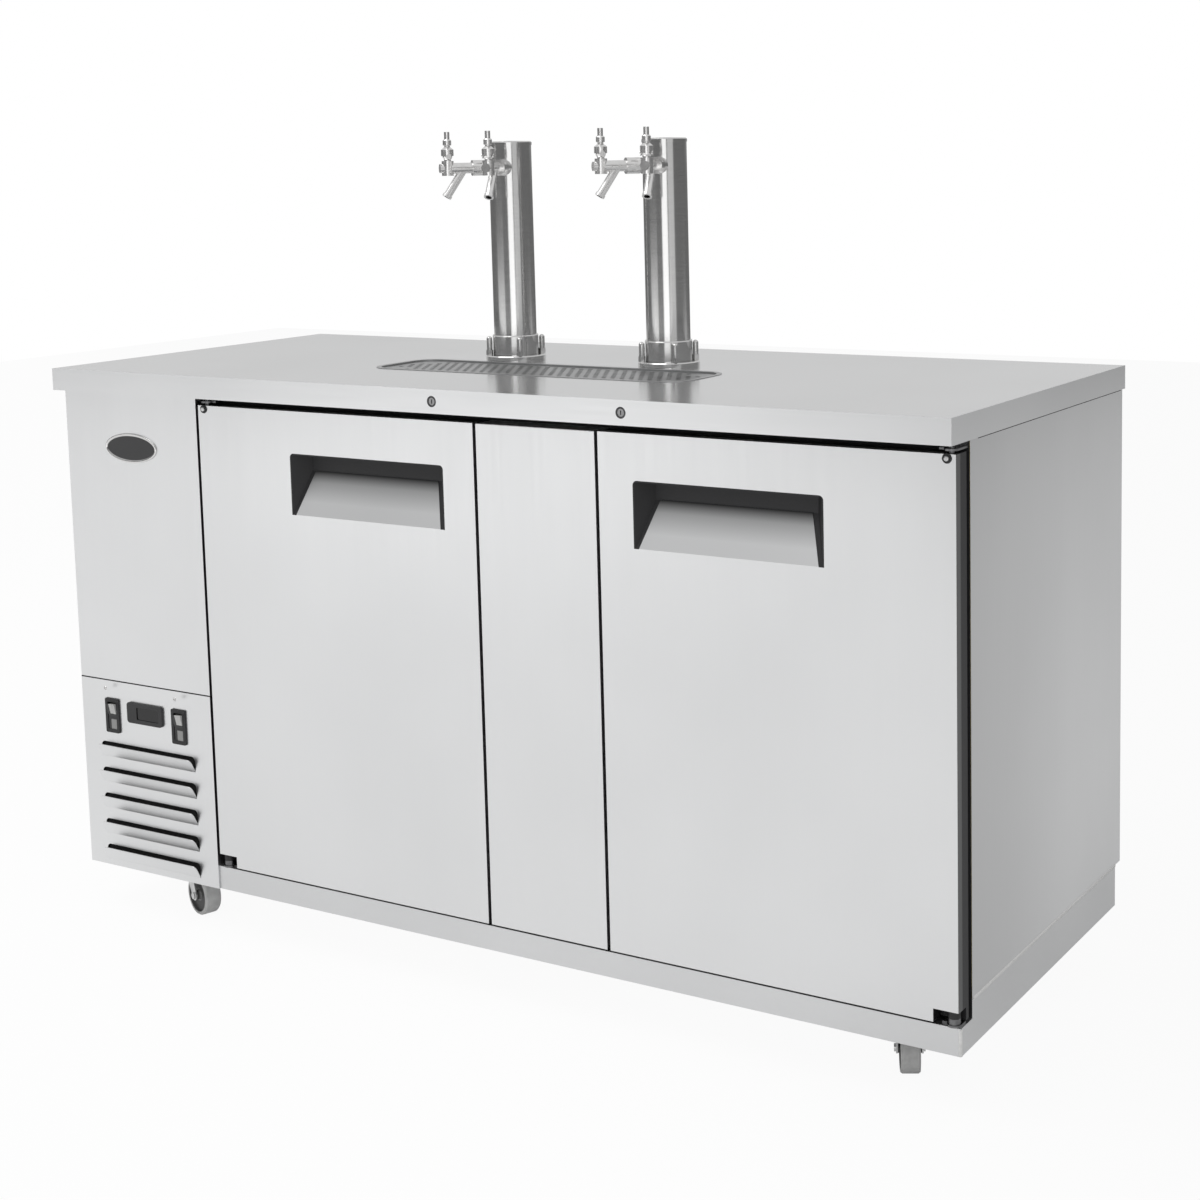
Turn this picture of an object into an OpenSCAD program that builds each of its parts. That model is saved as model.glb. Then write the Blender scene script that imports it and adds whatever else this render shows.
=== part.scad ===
// Two-door direct-draw keg cooler with a pair of draught towers, in millimetres.
// X runs from left to right, Y from front to back and Z up. The origin is on the
// floor, under the middle of the worktop.

/* [Worktop] */
// Width of the worktop, side to side
top_w = 1760; // [1650:5:1860]
// Depth of the worktop, front to back
top_d = 714; // [680:2:780]
// Height of the worktop above the floor
top_h = 1010; // [980:1:1060]
// Height of the turned-down edge
edge_h = 39; // [34:1:46]
// Overhang of the worktop in front of the doors
front_lip = 25; // [24:1:40]
// Overhang of the worktop behind the back panel
back_lip = 8; // [4:1:20]
// Overhang of the worktop at each side
side_lip = 2; // [1:0.5:4]

/* [Cabinet] */
// Thickness of the stainless sheet
sheet = 1.2; // [0.8:0.1:1.6]
// Thickness of the sheet that the base is folded from
base_t = 2; // [1.6:0.1:3]
// Floor to the underside of the base
base_z = 85; // [82:1:96]
// Height of the plinth under the doors
plinth_h = 42; // [38:1:56]
// Height of the base band at the sides and back
band_h = 71; // [62:1:90]
// Set-back of the plinth behind the door fronts
plinth_set = 3; // [1:0.5:8]
// Set-back of the base at the rear
heel = 24; // [18:1:44]
// Width of the machine compartment on the left
machine_w = 322; // [300:1:340]
// Thickness of an insulated side or back wall
wall = 46; // [42:1:60]
// Thickness of the insulated floor
floor_t = 48; // [44:1:64]
// Thickness of the insulated ceiling
head_t = 63; // [60:1:72]
// Thickness of the inner liner
liner_t = 1; // [0.6:0.1:1.5]
// Corner radius of the inner liner
liner_r = 14; // [8:1:24]
// Width of the cover on the centre post
post_w = 226; // [200:2:260]
// How far the centre post reaches behind each door
post_lap = 46; // [44:1:60]
// Depth of the centre post behind the door seals
post_t = 45; // [30:1:60]

/* [Doors] */
// Gap beside each door
door_gap = 6; // [5.5:0.5:9]
// Gap between the doors and the worktop edge
head_gap = 15; // [14:1:24]
// Gap between the doors and the plinth
foot_gap = 4; // [4:0.5:8]
// Thickness of a door without its seal
door_t = 36; // [35:1:44]
// Depth of the folded rim of a door skin
skin_rim = 14; // [8:1:20]
// Thickness of the door seal
seal_t = 9; // [7:0.5:12]
// Width of the door seal
seal_w = 20; // [14:1:22]
// Distance of the seal from the door's edges
seal_in = 14; // [12:1:17]
// Height of the pressed panel on the inside of a door
press_h = 3; // [2:0.5:6]
// Distance of the hinge pin from the side and the front of its door
hinge_in = 12; // [11:0.5:12.5]
// Diameter of the hinge pins
pin_d = 8; // [6:0.5:9]
// Outside diameter of the hinge bushes
bush_d = 14; // [12:0.5:16]
// Length of a hinge bush inside the door
bush_l = 24; // [16:1:30]
// Width of the hinge notch in the door's lower corner
notch_w = 40; // [28:1:56]
// Height of the hinge notch
notch_h = 20; // [16:1:28]
// Thickness of the hinge leaves
leaf_t = 3; // [2:0.5:3.5]

/* [Handles] */
// Width of a recessed handle
grip_w = 325; // [260:1:360]
// Height of a recessed handle
grip_h = 105; // [90:1:130]
// Distance of the handle below the door's top edge
grip_drop = 72; // [60:1:110]
// Distance of the handle from the door's free edge
grip_in = 62; // [45:1:90]
// Depth of the finger space
grip_d = 29; // [22:1:30]
// How far each end wall of the recess leans in
grip_lean = 23; // [10:1:30]
// Set-back of the steel slope from each end of the recess
slope_in = 9; // [4:0.5:14]
// Height of the dark finger slot above the slope
grip_slot = 32; // [28:1:44]
// Wall of the moulded handle recess
grip_t = 2.5; // [2:0.5:4]

/* [Locks] */
// Distance of each lock from its door's free edge
lock_in = 60; // [40:1:110]
// Diameter of the lock barrels
lock_d = 18; // [16:0.5:20]
// Diameter of the turning lock plugs
plug_d = 12; // [10:0.5:13]
// Depth of the lock barrels behind the worktop edge
lock_l = 14; // [10:1:16]
// Reach of the lock cam below the lock's centre
cam_l = 48; // [44:1:54]

/* [Machine front] */
// Height of the split between the upper panel and the louvre panel
split_z = 437; // [430:1:480]
// Number of louvres
louvre_n = 5; // [3:1:5]
// Length of a louvre
louvre_w = 233; // [180:1:250]
// Height of a louvre
louvre_h = 27; // [20:1:36]
// Distance from one louvre to the next
louvre_pitch = 49; // [46:0.5:51]
// Plain strip of the panel below the lowest louvre
louvre_foot = 12; // [8:1:16]
// How far a louvre's upper edge is bent out
louvre_out = 12; // [8:0.5:14]
// Radius of a louvre's upper corners
louvre_r = 8; // [4:0.5:10]
// Width of a rocker switch bezel
switch_w = 34; // [28:1:40]
// Height of a rocker switch bezel
switch_h = 64; // [52:1:70]
// Distance of each switch from the middle of the panel
switch_x = 83; // [76:1:100]
// Height of the switches' centre above the floor
switch_z = 372; // [368:1:380]
// Angle that a rocker tips to each side
rock_angle = 7; // [4:0.5:9]
// Width of the temperature controller
display_w = 87; // [70:1:90]
// Height of the temperature controller
display_h = 38; // [32:1:42]
// Depth of the controller behind the panel
display_l = 46; // [30:1:60]
// Height of the controller's centre above the floor
display_z = 384; // [376:1:388]

/* [Drip tray] */
// Length of the drip tray
tray_w = 630; // [520:5:700]
// Width of the drip tray, front to back
tray_d = 150; // [120:1:150]
// Depth of the drip tray
tray_h = 20; // [16:1:24]
// Corner radius of the drip tray
tray_r = 36; // [20:1:60]
// Distance of the tray from the worktop's front edge
tray_in = 222; // [180:1:222]
// Sideways offset of the tray and towers from the middle
tray_x = -8; // [-60:1:60]
// Sheet thickness of the drip tray
tray_t = 1; // [0.8:0.1:1.5]
// Width of the rim that lies on the worktop
rim_w = 8; // [4:0.5:8]
// Diameter of the holes in the drip grid
hole_d = 9; // [6:0.5:10]
// Distance from one grid hole to the next
hole_pitch = 18; // [16:1:30]
// Outside diameter of the drain pipe through the ceiling
drain_d = 24; // [23:0.5:28]
// Outside diameter of the drain's hose end
spigot_d = 22; // [14:0.5:23]
// Free length of the drain's hose end under the ceiling
drain_l = 26; // [20:1:50]

/* [Towers] */
// Distance between the two towers
tower_gap = 326; // [280:1:370]
// Distance of the towers from the worktop's front edge
tower_in = 440; // [440:1:480]
// Height of a tower's top above its taps' axis
tower_rise = 47; // [40:1:80]
// Outside diameter of the columns
tower_d = 76.2; // [73:0.1:80]
// Wall of the columns
tower_t = 1.6; // [1.2:0.1:2.5]
// Diameter of the tower flanges
flange_d = 108; // [107:0.5:108]
// Thickness of the tower flanges
flange_t = 9; // [7:0.5:12]
// Height of the socket that the column stands in
socket_h = 45; // [30:1:56]
// Height of the cap nuts on the flange
nut_h = 34; // [22:1:40]
// Thickness of the tower caps
cap_t = 8; // [6:0.5:12]

/* [Taps] */
// Height of the tap axis above the worktop
tap_h = 345; // [300:1:390]
// Angle of each tap from straight ahead
tap_turn = 28; // [27:1:40]
// Angle that the towers are turned to the left, seen from above
tower_turn = 11; // [0:1:20]
// Distance of the lever from the column's axis
tap_reach = 114; // [108:1:125]
// Diameter of a tap shank
shank_d = 20; // [18:0.5:21]
// Diameter of a coupling nut
collar_d = 28; // [26:0.5:32]
// Diameter of a tap body
tap_d = 19; // [17:0.5:19.5]
// Drop of the spout tip below the tap axis
spout_drop = 51; // [46:1:60]
// Diameter of the spout
spout_d = 14.5; // [12:0.5:16]
// Height of the lever's ball above the tap axis
ball_h = 21; // [20:0.5:24]
// Diameter of the lever's ball
ball_d = 17; // [15:0.5:18]
// Diameter of the pin that a lever turns on
pivot_d = 4; // [3:0.5:5]
// Diameter of the threaded stud on a lever
stud_d = 9.5; // [8:0.1:10]
// Height of the stud's end above the tap axis
stud_h = 64; // [62:1:76]
// Diameter of the beer tubes inside the towers
tube_d = 8; // [6:0.5:9]

/* [Casters] */
// Diameter of the caster wheels
wheel_d = 75; // [60:1:78]
// Width of the caster wheels
wheel_w = 30; // [24:1:34]
// Distance of the wheel axle from the swivel axis
trail = 22; // [18:1:26]
// Diameter of the caster axles
axle_d = 8; // [6:0.5:10]
// Height of the casters
caster_h = 98; // [96:1:104]
// Distance of the right-hand casters from the cabinet's side
caster_right = 112; // [80:1:160]
// Distance of the left-hand casters from the cabinet's side
caster_left = 198; // [80:1:220]
// Distance of the front casters from the door fronts
caster_in_y = 72; // [66:1:110]

/* [Cooling unit] */
// Diameter of the condenser fan
fan_d = 170; // [140:2:176]
// Room beside the condenser in its compartment
coil_side = 23; // [16:1:40]
// Margin of the fan shroud above and below the fan
shroud_rim = 14; // [10:1:16]
// Diameter of the evaporator fan
cold_fan_d = 130; // [100:2:150]
// Depth of the evaporator cover from the wall
cold_w = 112; // [100:1:130]
// Length of the evaporator cover, front to back
cold_l = 260; // [220:2:300]
// Height of the evaporator cover
cold_h = 270; // [220:2:300]
// Diameter of the fan shafts
shaft_d = 6; // [4:0.5:8]
// Diameter of the compressor shell
comp_d = 170; // [140:2:180]
// Height of the compressor
comp_h = 190; // [150:2:200]

/* [Hidden] */
$fn = 48;

// Clearances
fit = 0.05;
run = 0.3;
joint = 0.4;
over = 1;

// Cabinet planes
cab_x = top_w / 2 - side_lip;
door_y = -top_d / 2 + front_lip;
back_y = top_d / 2 - back_lip;
face_y = door_y + door_t + seal_t;
face_in = face_y + sheet;
heel_y = back_y - heel;
plinth_y = door_y + plinth_set;
base_top = base_z + plinth_h;
band_z = base_z + band_h;
edge_z = top_h - edge_h;
machine_x = machine_w - cab_x;
machine_mid = machine_x - machine_w / 2;

// Keg compartment
in_x0 = machine_x + wall;
in_x1 = cab_x - wall;
in_y1 = back_y - wall;
in_z0 = base_top + floor_t;
in_z1 = edge_z - head_t;

// Doors and centre post
door_w = (cab_x - side_lip - machine_x - 3 * door_gap - post_w) / 2;
door_z0 = base_top + foot_gap;
door_z1 = edge_z - head_gap;
left_x0 = machine_x + door_gap;
post_x0 = left_x0 + door_w + door_gap;
post_x1 = post_x0 + post_w;
right_x1 = cab_x - side_lip;
grip_x0 = door_w - grip_in - grip_w;
grip_x1 = door_w - grip_in;
grip_z1 = door_z1 - grip_drop;
grip_z0 = grip_z1 - grip_h;
notch_d = 2 * hinge_in + 2;

// Drip tray, towers and taps
tray_y = -top_d / 2 + tray_in + tray_d / 2;
tower_y = -top_d / 2 + tower_in;
tower_h = tap_h + tower_rise;
tower_r = tower_d / 2;
shank_r0 = shank_d / 2 / sin(tap_turn) + 3;
nut_r0 = tower_r + 8;
nut_w = 24;
cup_r = ball_d / 2 + 2.5;
tail_end = nut_r0 + nut_w;
bolt_r = tower_r + 9.7;
pass_d = 2 * (tower_r - 12);
tube_z = in_z1 - 30;
drain_x = tray_x - tray_w / 2 + 40;
grid_z = top_h - 3.5;

// Locks
lock_z = top_h - edge_h / 2;
edge_y = -top_d / 2;
plug_end = edge_y + sheet + lock_l;
cam_t = 2.5;

// Louvres
louvre_z = base_z + louvre_foot + louvre_h + (louvre_n - 1) * louvre_pitch;

// Casters
caster_x0 = caster_left - cab_x;
caster_x1 = cab_x - caster_right;
caster_y0 = door_y + caster_in_y;
caster_y1 = heel_y - base_t - caster_in_y + plinth_set;
caster_turn = [341, 118, 70, 250];
caster_at = [[caster_x0, caster_y0], [caster_x1, caster_y0], [caster_x0, caster_y1], [caster_x1, caster_y1]];
race_h = 5;
stem_d = 12;
crown_t = 4;
fork_gap = wheel_w / 2 + 3;
fork_t = 2.5;

// Cooling unit
fan_z = base_top + fan_d / 2 + shroud_rim;
coil_y0 = face_y + 6;
coil_t = 44;
fan_y = coil_y0 + coil_t + 14;
fan_t = 22;
cold_y = in_y1 - 60 - cold_l / 2;
cold_z = in_z1 - 24 - cold_h / 2;
cold_fan_x = in_x0 + cold_w - 34;

// A block between two opposite corners
module block(a, b) {
    translate(a)
        cube(b - a);
}

// A rectangle with round corners, centred
module rounded(w, h, r) {
    square([w - 2 * r, h], center = true);
    square([w, h - 2 * r], center = true);
    for (x = [-1, 1], y = [-1, 1])
        translate([x * (w / 2 - r), y * (h / 2 - r)])
            circle(r);
}

// A rectangle with its corners cut off, centred
module chamfered(w, h, c) {
    polygon([[c - w / 2, -h / 2], [w / 2 - c, -h / 2], [w / 2, c - h / 2], [w / 2, h / 2 - c],
        [w / 2 - c, h / 2], [c - w / 2, h / 2], [-w / 2, h / 2 - c], [-w / 2, c - h / 2]]);
}

// A flat outline in X and Z, pulled back along Y from the given plane
module upright(y, depth) {
    translate([0, y + depth, 0])
        rotate([90, 0, 0])
            linear_extrude(depth)
                children();
}

// A profile in Y and Z, pulled along X from the given plane
module along_x(x, length) {
    translate([x, 0, 0])
        rotate([90, 0, 90])
            linear_extrude(length)
                children();
}

// A rod along +Y
module rod_y(d, length) {
    rotate([-90, 0, 0])
        cylinder(d = d, h = length);
}

// A rod along +X
module rod_x(d, length) {
    rotate([0, 90, 0])
        cylinder(d = d, h = length);
}

// Left and right copies of what stands at the positive side
module both_sides() {
    children();
    mirror([1, 0, 0])
        children();
}

// The folded base: plinth, side bands, heel, deck and the rails over the casters
module base_frame() {
    rail_w = 84;
    rail_z = caster_h;
    color("gainsboro") {
        block([machine_x, plinth_y, base_z], [cab_x, plinth_y + base_t, base_top]);
        block([-cab_x, face_y, rail_z], [machine_x, face_y + base_t, base_top]);
        block([cab_x - base_t, plinth_y, base_z], [cab_x, face_y, base_top]);
        both_sides()
            block([cab_x - base_t, face_y, base_z], [cab_x, heel_y, band_z]);
        block([-cab_x, heel_y - base_t, base_z], [cab_x, heel_y, band_z]);
        block([-cab_x, face_y, base_top - base_t], [cab_x, heel_y, base_top]);
        block([machine_x, plinth_y, base_top - base_t], [cab_x, face_y + over, base_top]);
        for (x = [caster_x0, caster_x1])
            translate([x, 0, 0])
                difference() {
                    block([-rail_w / 2, face_y, rail_z], [rail_w / 2, heel_y - base_t, base_top - base_t]);
                    block([base_t - rail_w / 2, face_y - over, rail_z + base_t],
                        [rail_w / 2 - base_t, heel_y, base_top]);
                    for (y = [caster_y0, caster_y1])
                        translate([0, y, rail_z - over])
                            cylinder(d = stem_d + 8, h = base_t + 2 * over);
                }
    }
}

// A side panel with its top edge folded in under the worktop
module side_panel() {
    fold = 20;
    color("lightgray")
        translate([0, face_y, 0])
            rotate([90, 0, 0])
                mirror([0, 0, 1])
                    linear_extrude(back_y - face_y)
                        polygon([[cab_x - sheet, band_z], [cab_x, band_z], [cab_x, edge_z],
                            [cab_x - fold, edge_z], [cab_x - fold, edge_z - sheet],
                            [cab_x - sheet, edge_z - sheet]]);
}

module left_side_panel() {
    mirror([1, 0, 0])
        side_panel();
}

module right_side_panel() {
    side_panel();
}

// The back panel, with air slots behind the machine compartment and its foot folded forward
module back_panel() {
    slot_w = 150;
    slot_h = 8;
    slot_n = 12;
    color("darkgray")
        difference() {
            along_x(sheet - cab_x, 2 * (cab_x - sheet))
                polygon([[heel_y, band_z], [back_y, band_z], [back_y, edge_z - sheet],
                    [back_y - sheet, edge_z - sheet], [back_y - sheet, band_z + sheet],
                    [heel_y, band_z + sheet]]);
            upright(back_y - sheet - over, sheet + 2 * over)
                for (i = [0 : slot_n - 1])
                    translate([machine_mid, band_z + 60 + 3 * slot_h * i])
                        rounded(slot_w, slot_h, slot_h / 2 - 0.5);
        }
}

// The front frame that the door seals close on
module face_frame() {
    win_h = in_z1 - in_z0;
    left_w = post_x0 - post_lap - in_x0;
    right_w = in_x1 - post_x1 - post_lap;
    color("gainsboro")
        upright(face_y, sheet)
            difference() {
                translate([machine_x, base_top])
                    square([cab_x - base_t - machine_x, edge_z - sheet - base_top]);
                translate([in_x0 + left_w / 2, in_z0 + win_h / 2])
                    rounded(left_w, win_h, liner_r);
                translate([in_x1 - right_w / 2, in_z0 + win_h / 2])
                    rounded(right_w, win_h, liner_r);
            }
}

// Where the beer tubes and the drain pass down through the ceiling
module ceiling_holes(z, h) {
    for (s = [-1, 1])
        translate([tray_x + s * tower_gap / 2, tower_y, z])
            cylinder(d = pass_d, h = h);
    translate([drain_x, tray_y, z])
        cylinder(d = drain_d + 2 * run, h = h);
}

// The seamless liner of the keg compartment, open at the front
module inner_liner() {
    w = in_x1 - in_x0;
    h = in_z1 - in_z0;
    color("silver")
        difference() {
            translate([(in_x0 + in_x1) / 2, 0, (in_z0 + in_z1) / 2])
                upright(face_in, in_y1 + liner_t - face_in)
                    rounded(w + 2 * liner_t, h + 2 * liner_t, liner_r + liner_t);
            translate([(in_x0 + in_x1) / 2, 0, (in_z0 + in_z1) / 2])
                upright(face_in - over, in_y1 - face_in + over)
                    rounded(w, h, liner_r);
            ceiling_holes(in_z1 - over, liner_t + 2 * over);
        }
}

// Foam panels between the liner and the outer sheets
module insulation() {
    low = in_z0 - liner_t;
    high = in_z1 + liner_t;
    color("khaki") {
        block([machine_x, face_in, base_top],
            [cab_x - base_t, min(in_y1 + liner_t - joint, heel_y - base_t), low]);
        block([in_x1 + liner_t, face_in, low + joint], [cab_x - sheet, back_y - sheet, high - joint]);
        block([machine_x, face_in, low + joint], [in_x0 - liner_t, back_y - sheet, high - joint]);
        block([in_x0 - liner_t + joint, in_y1 + liner_t, low + joint],
            [in_x1 + liner_t - joint, back_y - sheet, high - joint]);
        difference() {
            block([machine_x, face_in, high], [cab_x - sheet, back_y - sheet, edge_z - sheet]);
            ceiling_holes(high - over, head_t);
        }
    }
}

// The insulated post between the two doorways
module centre_post() {
    lean = 10;
    x0 = post_x0 - post_lap;
    x1 = post_x1 + post_lap;
    color("silver")
        translate([0, 0, in_z0])
            linear_extrude(in_z1 - in_z0)
                polygon([[x0, face_in], [x1, face_in], [x1, face_in + post_t - lean],
                    [x1 - lean, face_in + post_t], [x0 + lean, face_in + post_t],
                    [x0, face_in + post_t - lean]]);
}

// The steel cover that brings the post level with the door fronts
module post_cover() {
    color("lightgray")
        difference() {
            block([post_x0, door_y, door_z0], [post_x1, face_y, door_z1]);
            block([post_x0 + sheet, door_y + sheet, door_z0 + sheet],
                [post_x1 - sheet, face_y + over, door_z1 - sheet]);
        }
}

// The worktop: a foamed steel slab, grooved underneath along the front for the locks
module worktop() {
    color("lightgray")
        difference() {
            block([-top_w / 2, edge_y, edge_z], [top_w / 2, -edge_y, top_h]);
            block([machine_x, edge_y + sheet, edge_z - over],
                [top_w / 2 - sheet, door_y + 6, top_h - sheet]);
            translate([tray_x, tray_y, edge_z - over])
                linear_extrude(edge_h + 2 * over)
                    chamfered(tray_w + 2 * run, tray_d + 2 * run, tray_r * 0.45);
            for (s = [-1, 1])
                translate([tray_x + s * tower_gap / 2, tower_y, edge_z - over])
                    cylinder(d = pass_d, h = edge_h + 2 * over);
            for (x = [lock_x(-1), lock_x(1)])
                translate([x, edge_y - over, lock_z])
                    rod_y(lock_d + 2 * fit, sheet + 2 * over);
        }
}

// A front sheet of the machine compartment, folded back at its sides and ends
module front_pan(z0, z1) {
    difference() {
        block([-cab_x, door_y, z0], [machine_x, face_y, z1]);
        block([sheet - cab_x, door_y + sheet, z0 + sheet], [machine_x - sheet, face_y + over, z1 - sheet]);
    }
}

module upper_front_panel() {
    color("lightgray")
        front_pan(split_z + joint, edge_z);
}

// A flat tab that stands on Z = 0 and has round upper corners, in X and Z
module tab(w, h, r) {
    translate([-w / 2, 0])
        square([w, h - r]);
    translate([r - w / 2, 0])
        square([w - 2 * r, h]);
    for (s = [-1, 1])
        translate([s * (w / 2 - r), h - r])
            circle(r);
}

// A louvre's tongue, bent out of the panel about its lower edge
module louvre_tongue() {
    root = 1.5;
    rotate([asin(louvre_out / louvre_h), 0, 0])
        upright(-sheet / 2, sheet) {
            tab(louvre_w, louvre_h, louvre_r);
            translate([-louvre_w / 2, -root])
                square([louvre_w, 2 * root]);
        }
}

module louvre_panel() {
    slit = 0.6;
    color("lightgray")
        difference() {
            union() {
                difference() {
                    front_pan(base_z, split_z);
                    for (i = [0 : louvre_n - 1])
                        translate([machine_mid, 0, louvre_z - louvre_h - i * louvre_pitch])
                            upright(door_y - over, sheet + 2 * over)
                                tab(louvre_w + 2 * slit, louvre_h + slit, louvre_r + slit);
                }
                for (i = [0 : louvre_n - 1])
                    translate([machine_mid, door_y + sheet / 2, louvre_z - louvre_h - i * louvre_pitch])
                        louvre_tongue();
            }
            for (s = [-1, 1])
                translate([machine_mid + s * switch_x, 0, switch_z])
                    upright(door_y - over, sheet + 2 * over)
                        square([switch_w - 6, switch_h - 6], center = true);
            translate([machine_mid, 0, display_z])
                upright(door_y - over, sheet + 2 * over)
                    square([display_w - 14, display_h - 8], center = true);
        }
}

// The electronic temperature controller with its dark display window
module temperature_controller() {
    color("dimgray")
        translate([machine_mid, 0, display_z])
            difference() {
                union() {
                    upright(door_y - 4, 4)
                        rounded(display_w, display_h, 6);
                    upright(door_y - over, display_l)
                        square([display_w - 15, display_h - 9], center = true);
                }
                translate([display_w * 0.09, 0, 0])
                    upright(door_y - 4 - over, over + 1.4)
                        rounded(display_w * 0.62, display_h * 0.6, 3);
            }
}

// The frames that the rocker switches snap into
module switch_bezels() {
    color("dimgray")
        for (s = [-1, 1])
            translate([machine_mid + s * switch_x, 0, switch_z])
                difference() {
                    union() {
                        upright(door_y - 3, 3)
                            rounded(switch_w, switch_h, 3);
                        upright(door_y - over, 22)
                            square([switch_w - 7, switch_h - 7], center = true);
                    }
                    upright(door_y - 3 - over, 18 + over)
                        square([rocker_w() + 1.6, rocker_h() + 2], center = true);
                    translate([-switch_w / 2 + 2, door_y + 4, 0])
                        rod_x(4 + 2 * fit, switch_w - 4);
                }
}

function rocker_w() = switch_w - 14;
function rocker_h() = switch_h - 16;

// A rocker with two flats that meet over its pivot, tipped to its off side
module rocker(s) {
    w = rocker_w();
    h = rocker_h();
    rise = tan(rock_angle) * h / 2;
    color("whitesmoke")
        translate([machine_mid + s * switch_x, door_y + 4, switch_z])
            rotate([rock_angle, 0, 0]) {
                along_x(-w / 2, w)
                    polygon([[-6, 0], [-6 - rise, h / 2], [6, h / 2 - 4], [9, 0], [6, 4 - h / 2],
                        [-6 - rise, -h / 2]]);
                translate([-w / 2 - 1.6, 0, 0])
                    rod_x(4, w + 3.2);
            }
}

module left_rocker() {
    rocker(-1);
}

module right_rocker() {
    rocker(1);
}

// The pressed drip tray with a welded drain spigot
module drip_tray() {
    rim_t = 0.8;
    color("silver")
        translate([tray_x, tray_y, top_h - tray_h])
            difference() {
                union() {
                    linear_extrude(tray_h)
                        rounded(tray_w, tray_d, tray_r);
                    translate([0, 0, tray_h])
                        linear_extrude(rim_t)
                            rounded(tray_w + 2 * rim_w, tray_d + 2 * rim_w, tray_r + rim_w);
                    translate([drain_x - tray_x, 0, in_z1 - top_h + tray_h])
                        cylinder(d = drain_d, h = top_h - tray_h - in_z1 + tray_t);
                    translate([drain_x - tray_x, 0, in_z1 - drain_l - top_h + tray_h])
                        cylinder(d = spigot_d, h = drain_l + over);
                }
                translate([0, 0, tray_t])
                    linear_extrude(tray_h + rim_t)
                        rounded(tray_w - 2 * tray_t, tray_d - 2 * tray_t, tray_r - tray_t);
                translate([drain_x - tray_x, 0, in_z1 - drain_l - top_h + tray_h - over])
                    cylinder(d = spigot_d - 4, h = top_h - in_z1 + drain_l);
            }
}

// The lift-out perforated grid, standing in the tray on its own feet
module drip_grid() {
    w = tray_w - 2 * tray_t - 2;
    d = tray_d - 2 * tray_t - 2;
    r = tray_r - tray_t - 1;
    edge = 12;
    row_gap = hole_pitch * sqrt(3) / 2;
    cols = floor((w - 2 * edge - hole_pitch / 2) / hole_pitch);
    rows = floor((d - 2 * edge) / row_gap);
    foot_d = 6;
    color("gray")
        translate([tray_x, tray_y, 0]) {
            translate([0, 0, grid_z])
                linear_extrude(1.5)
                    difference() {
                        rounded(w, d, r);
                        for (i = [0 : cols], j = [0 : rows])
                            translate([(i - cols / 2 + (j % 2) / 2 - 0.25) * hole_pitch,
                                (j - rows / 2) * row_gap])
                                if (abs(i - cols / 2) < cols / 2 - 1 || abs(j - rows / 2) < rows / 2 - 1)
                                    circle(d = hole_d);
                    }
            for (x = [-1, 0, 1], y = [-1, 1])
                translate([x * (w / 2 - r), y * (d / 2 - foot_d), top_h - tray_h + tray_t])
                    cylinder(d = foot_d, h = grid_z - top_h + tray_h - tray_t + 0.5);
        }
}

// What repeats on both towers
module on_towers() {
    for (s = [-1, 1])
        translate([tray_x + s * tower_gap / 2, tower_y, top_h])
            children();
}

// Turns a tap, drawn along +X, to its place on its tower
function tap_angle(side) = -90 - tower_turn + side * tap_turn;

module at_tap(tower, side) {
    translate([tray_x + tower * tower_gap / 2, tower_y, top_h + tap_h])
        rotate([0, 0, tap_angle(side)])
            children();
}

module on_taps() {
    for (t = [-1, 1], s = [-1, 1])
        at_tap(t, s)
            children();
}

// The cast flange that holds a column on the worktop
module tower_flanges() {
    seat = 4;
    color("silver")
        on_towers()
            difference() {
                rotate_extrude()
                    polygon([[pass_d / 2, 0], [flange_d / 2, 0], [flange_d / 2, flange_t - 2],
                        [flange_d / 2 - 2, flange_t], [tower_r + 3, flange_t],
                        [tower_r + 3, socket_h - 2], [tower_r + 2, socket_h], [tower_r + fit, socket_h],
                        [tower_r + fit, seat], [pass_d / 2, seat]]);
                for (a = [45 : 90 : 315])
                    rotate([0, 0, a])
                        translate([bolt_r, 0, -over])
                            cylinder(d = 6 + 2 * fit, h = flange_t + 2 * over);
            }
}

// Long cap nuts on the four studs of each flange
module flange_nuts() {
    color("silver")
        on_towers()
            for (a = [45 : 90 : 315])
                rotate([0, 0, a])
                    translate([bolt_r, 0, 0]) {
                        cylinder(d = 6, h = flange_t + over);
                        translate([0, 0, flange_t])
                            cylinder(d = 12.4, h = 9, $fn = 6);
                        translate([0, 0, flange_t])
                            cylinder(d = 10, h = nut_h - 5);
                        translate([0, 0, flange_t + nut_h - 5])
                            sphere(d = 10);
                    }
}

// The column tubes, drilled for two shanks each
module tower_columns() {
    seat = 4;
    color("lightgray")
        on_towers()
            difference() {
                translate([0, 0, seat])
                    cylinder(d = tower_d, h = tower_h - cap_t - seat);
                cylinder(d = tower_d - 2 * tower_t, h = tower_h);
                for (s = [-1, 1])
                    translate([0, 0, tap_h])
                        rotate([0, 0, tap_angle(s)])
                            rod_x(shank_d + 2 * fit, tower_d);
            }
}

// Caps pushed into the tops of the columns
module tower_caps() {
    plug_r = tower_r - tower_t - fit;
    color("silver")
        on_towers()
            translate([0, 0, tower_h - cap_t])
                rotate_extrude()
                    polygon([[0, -12], [plug_r, -12], [plug_r, 0], [tower_r + 1, 0],
                        [tower_r + 1, cap_t - 3], [tower_r - 1, cap_t - 1], [0, cap_t]]);
}

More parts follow.
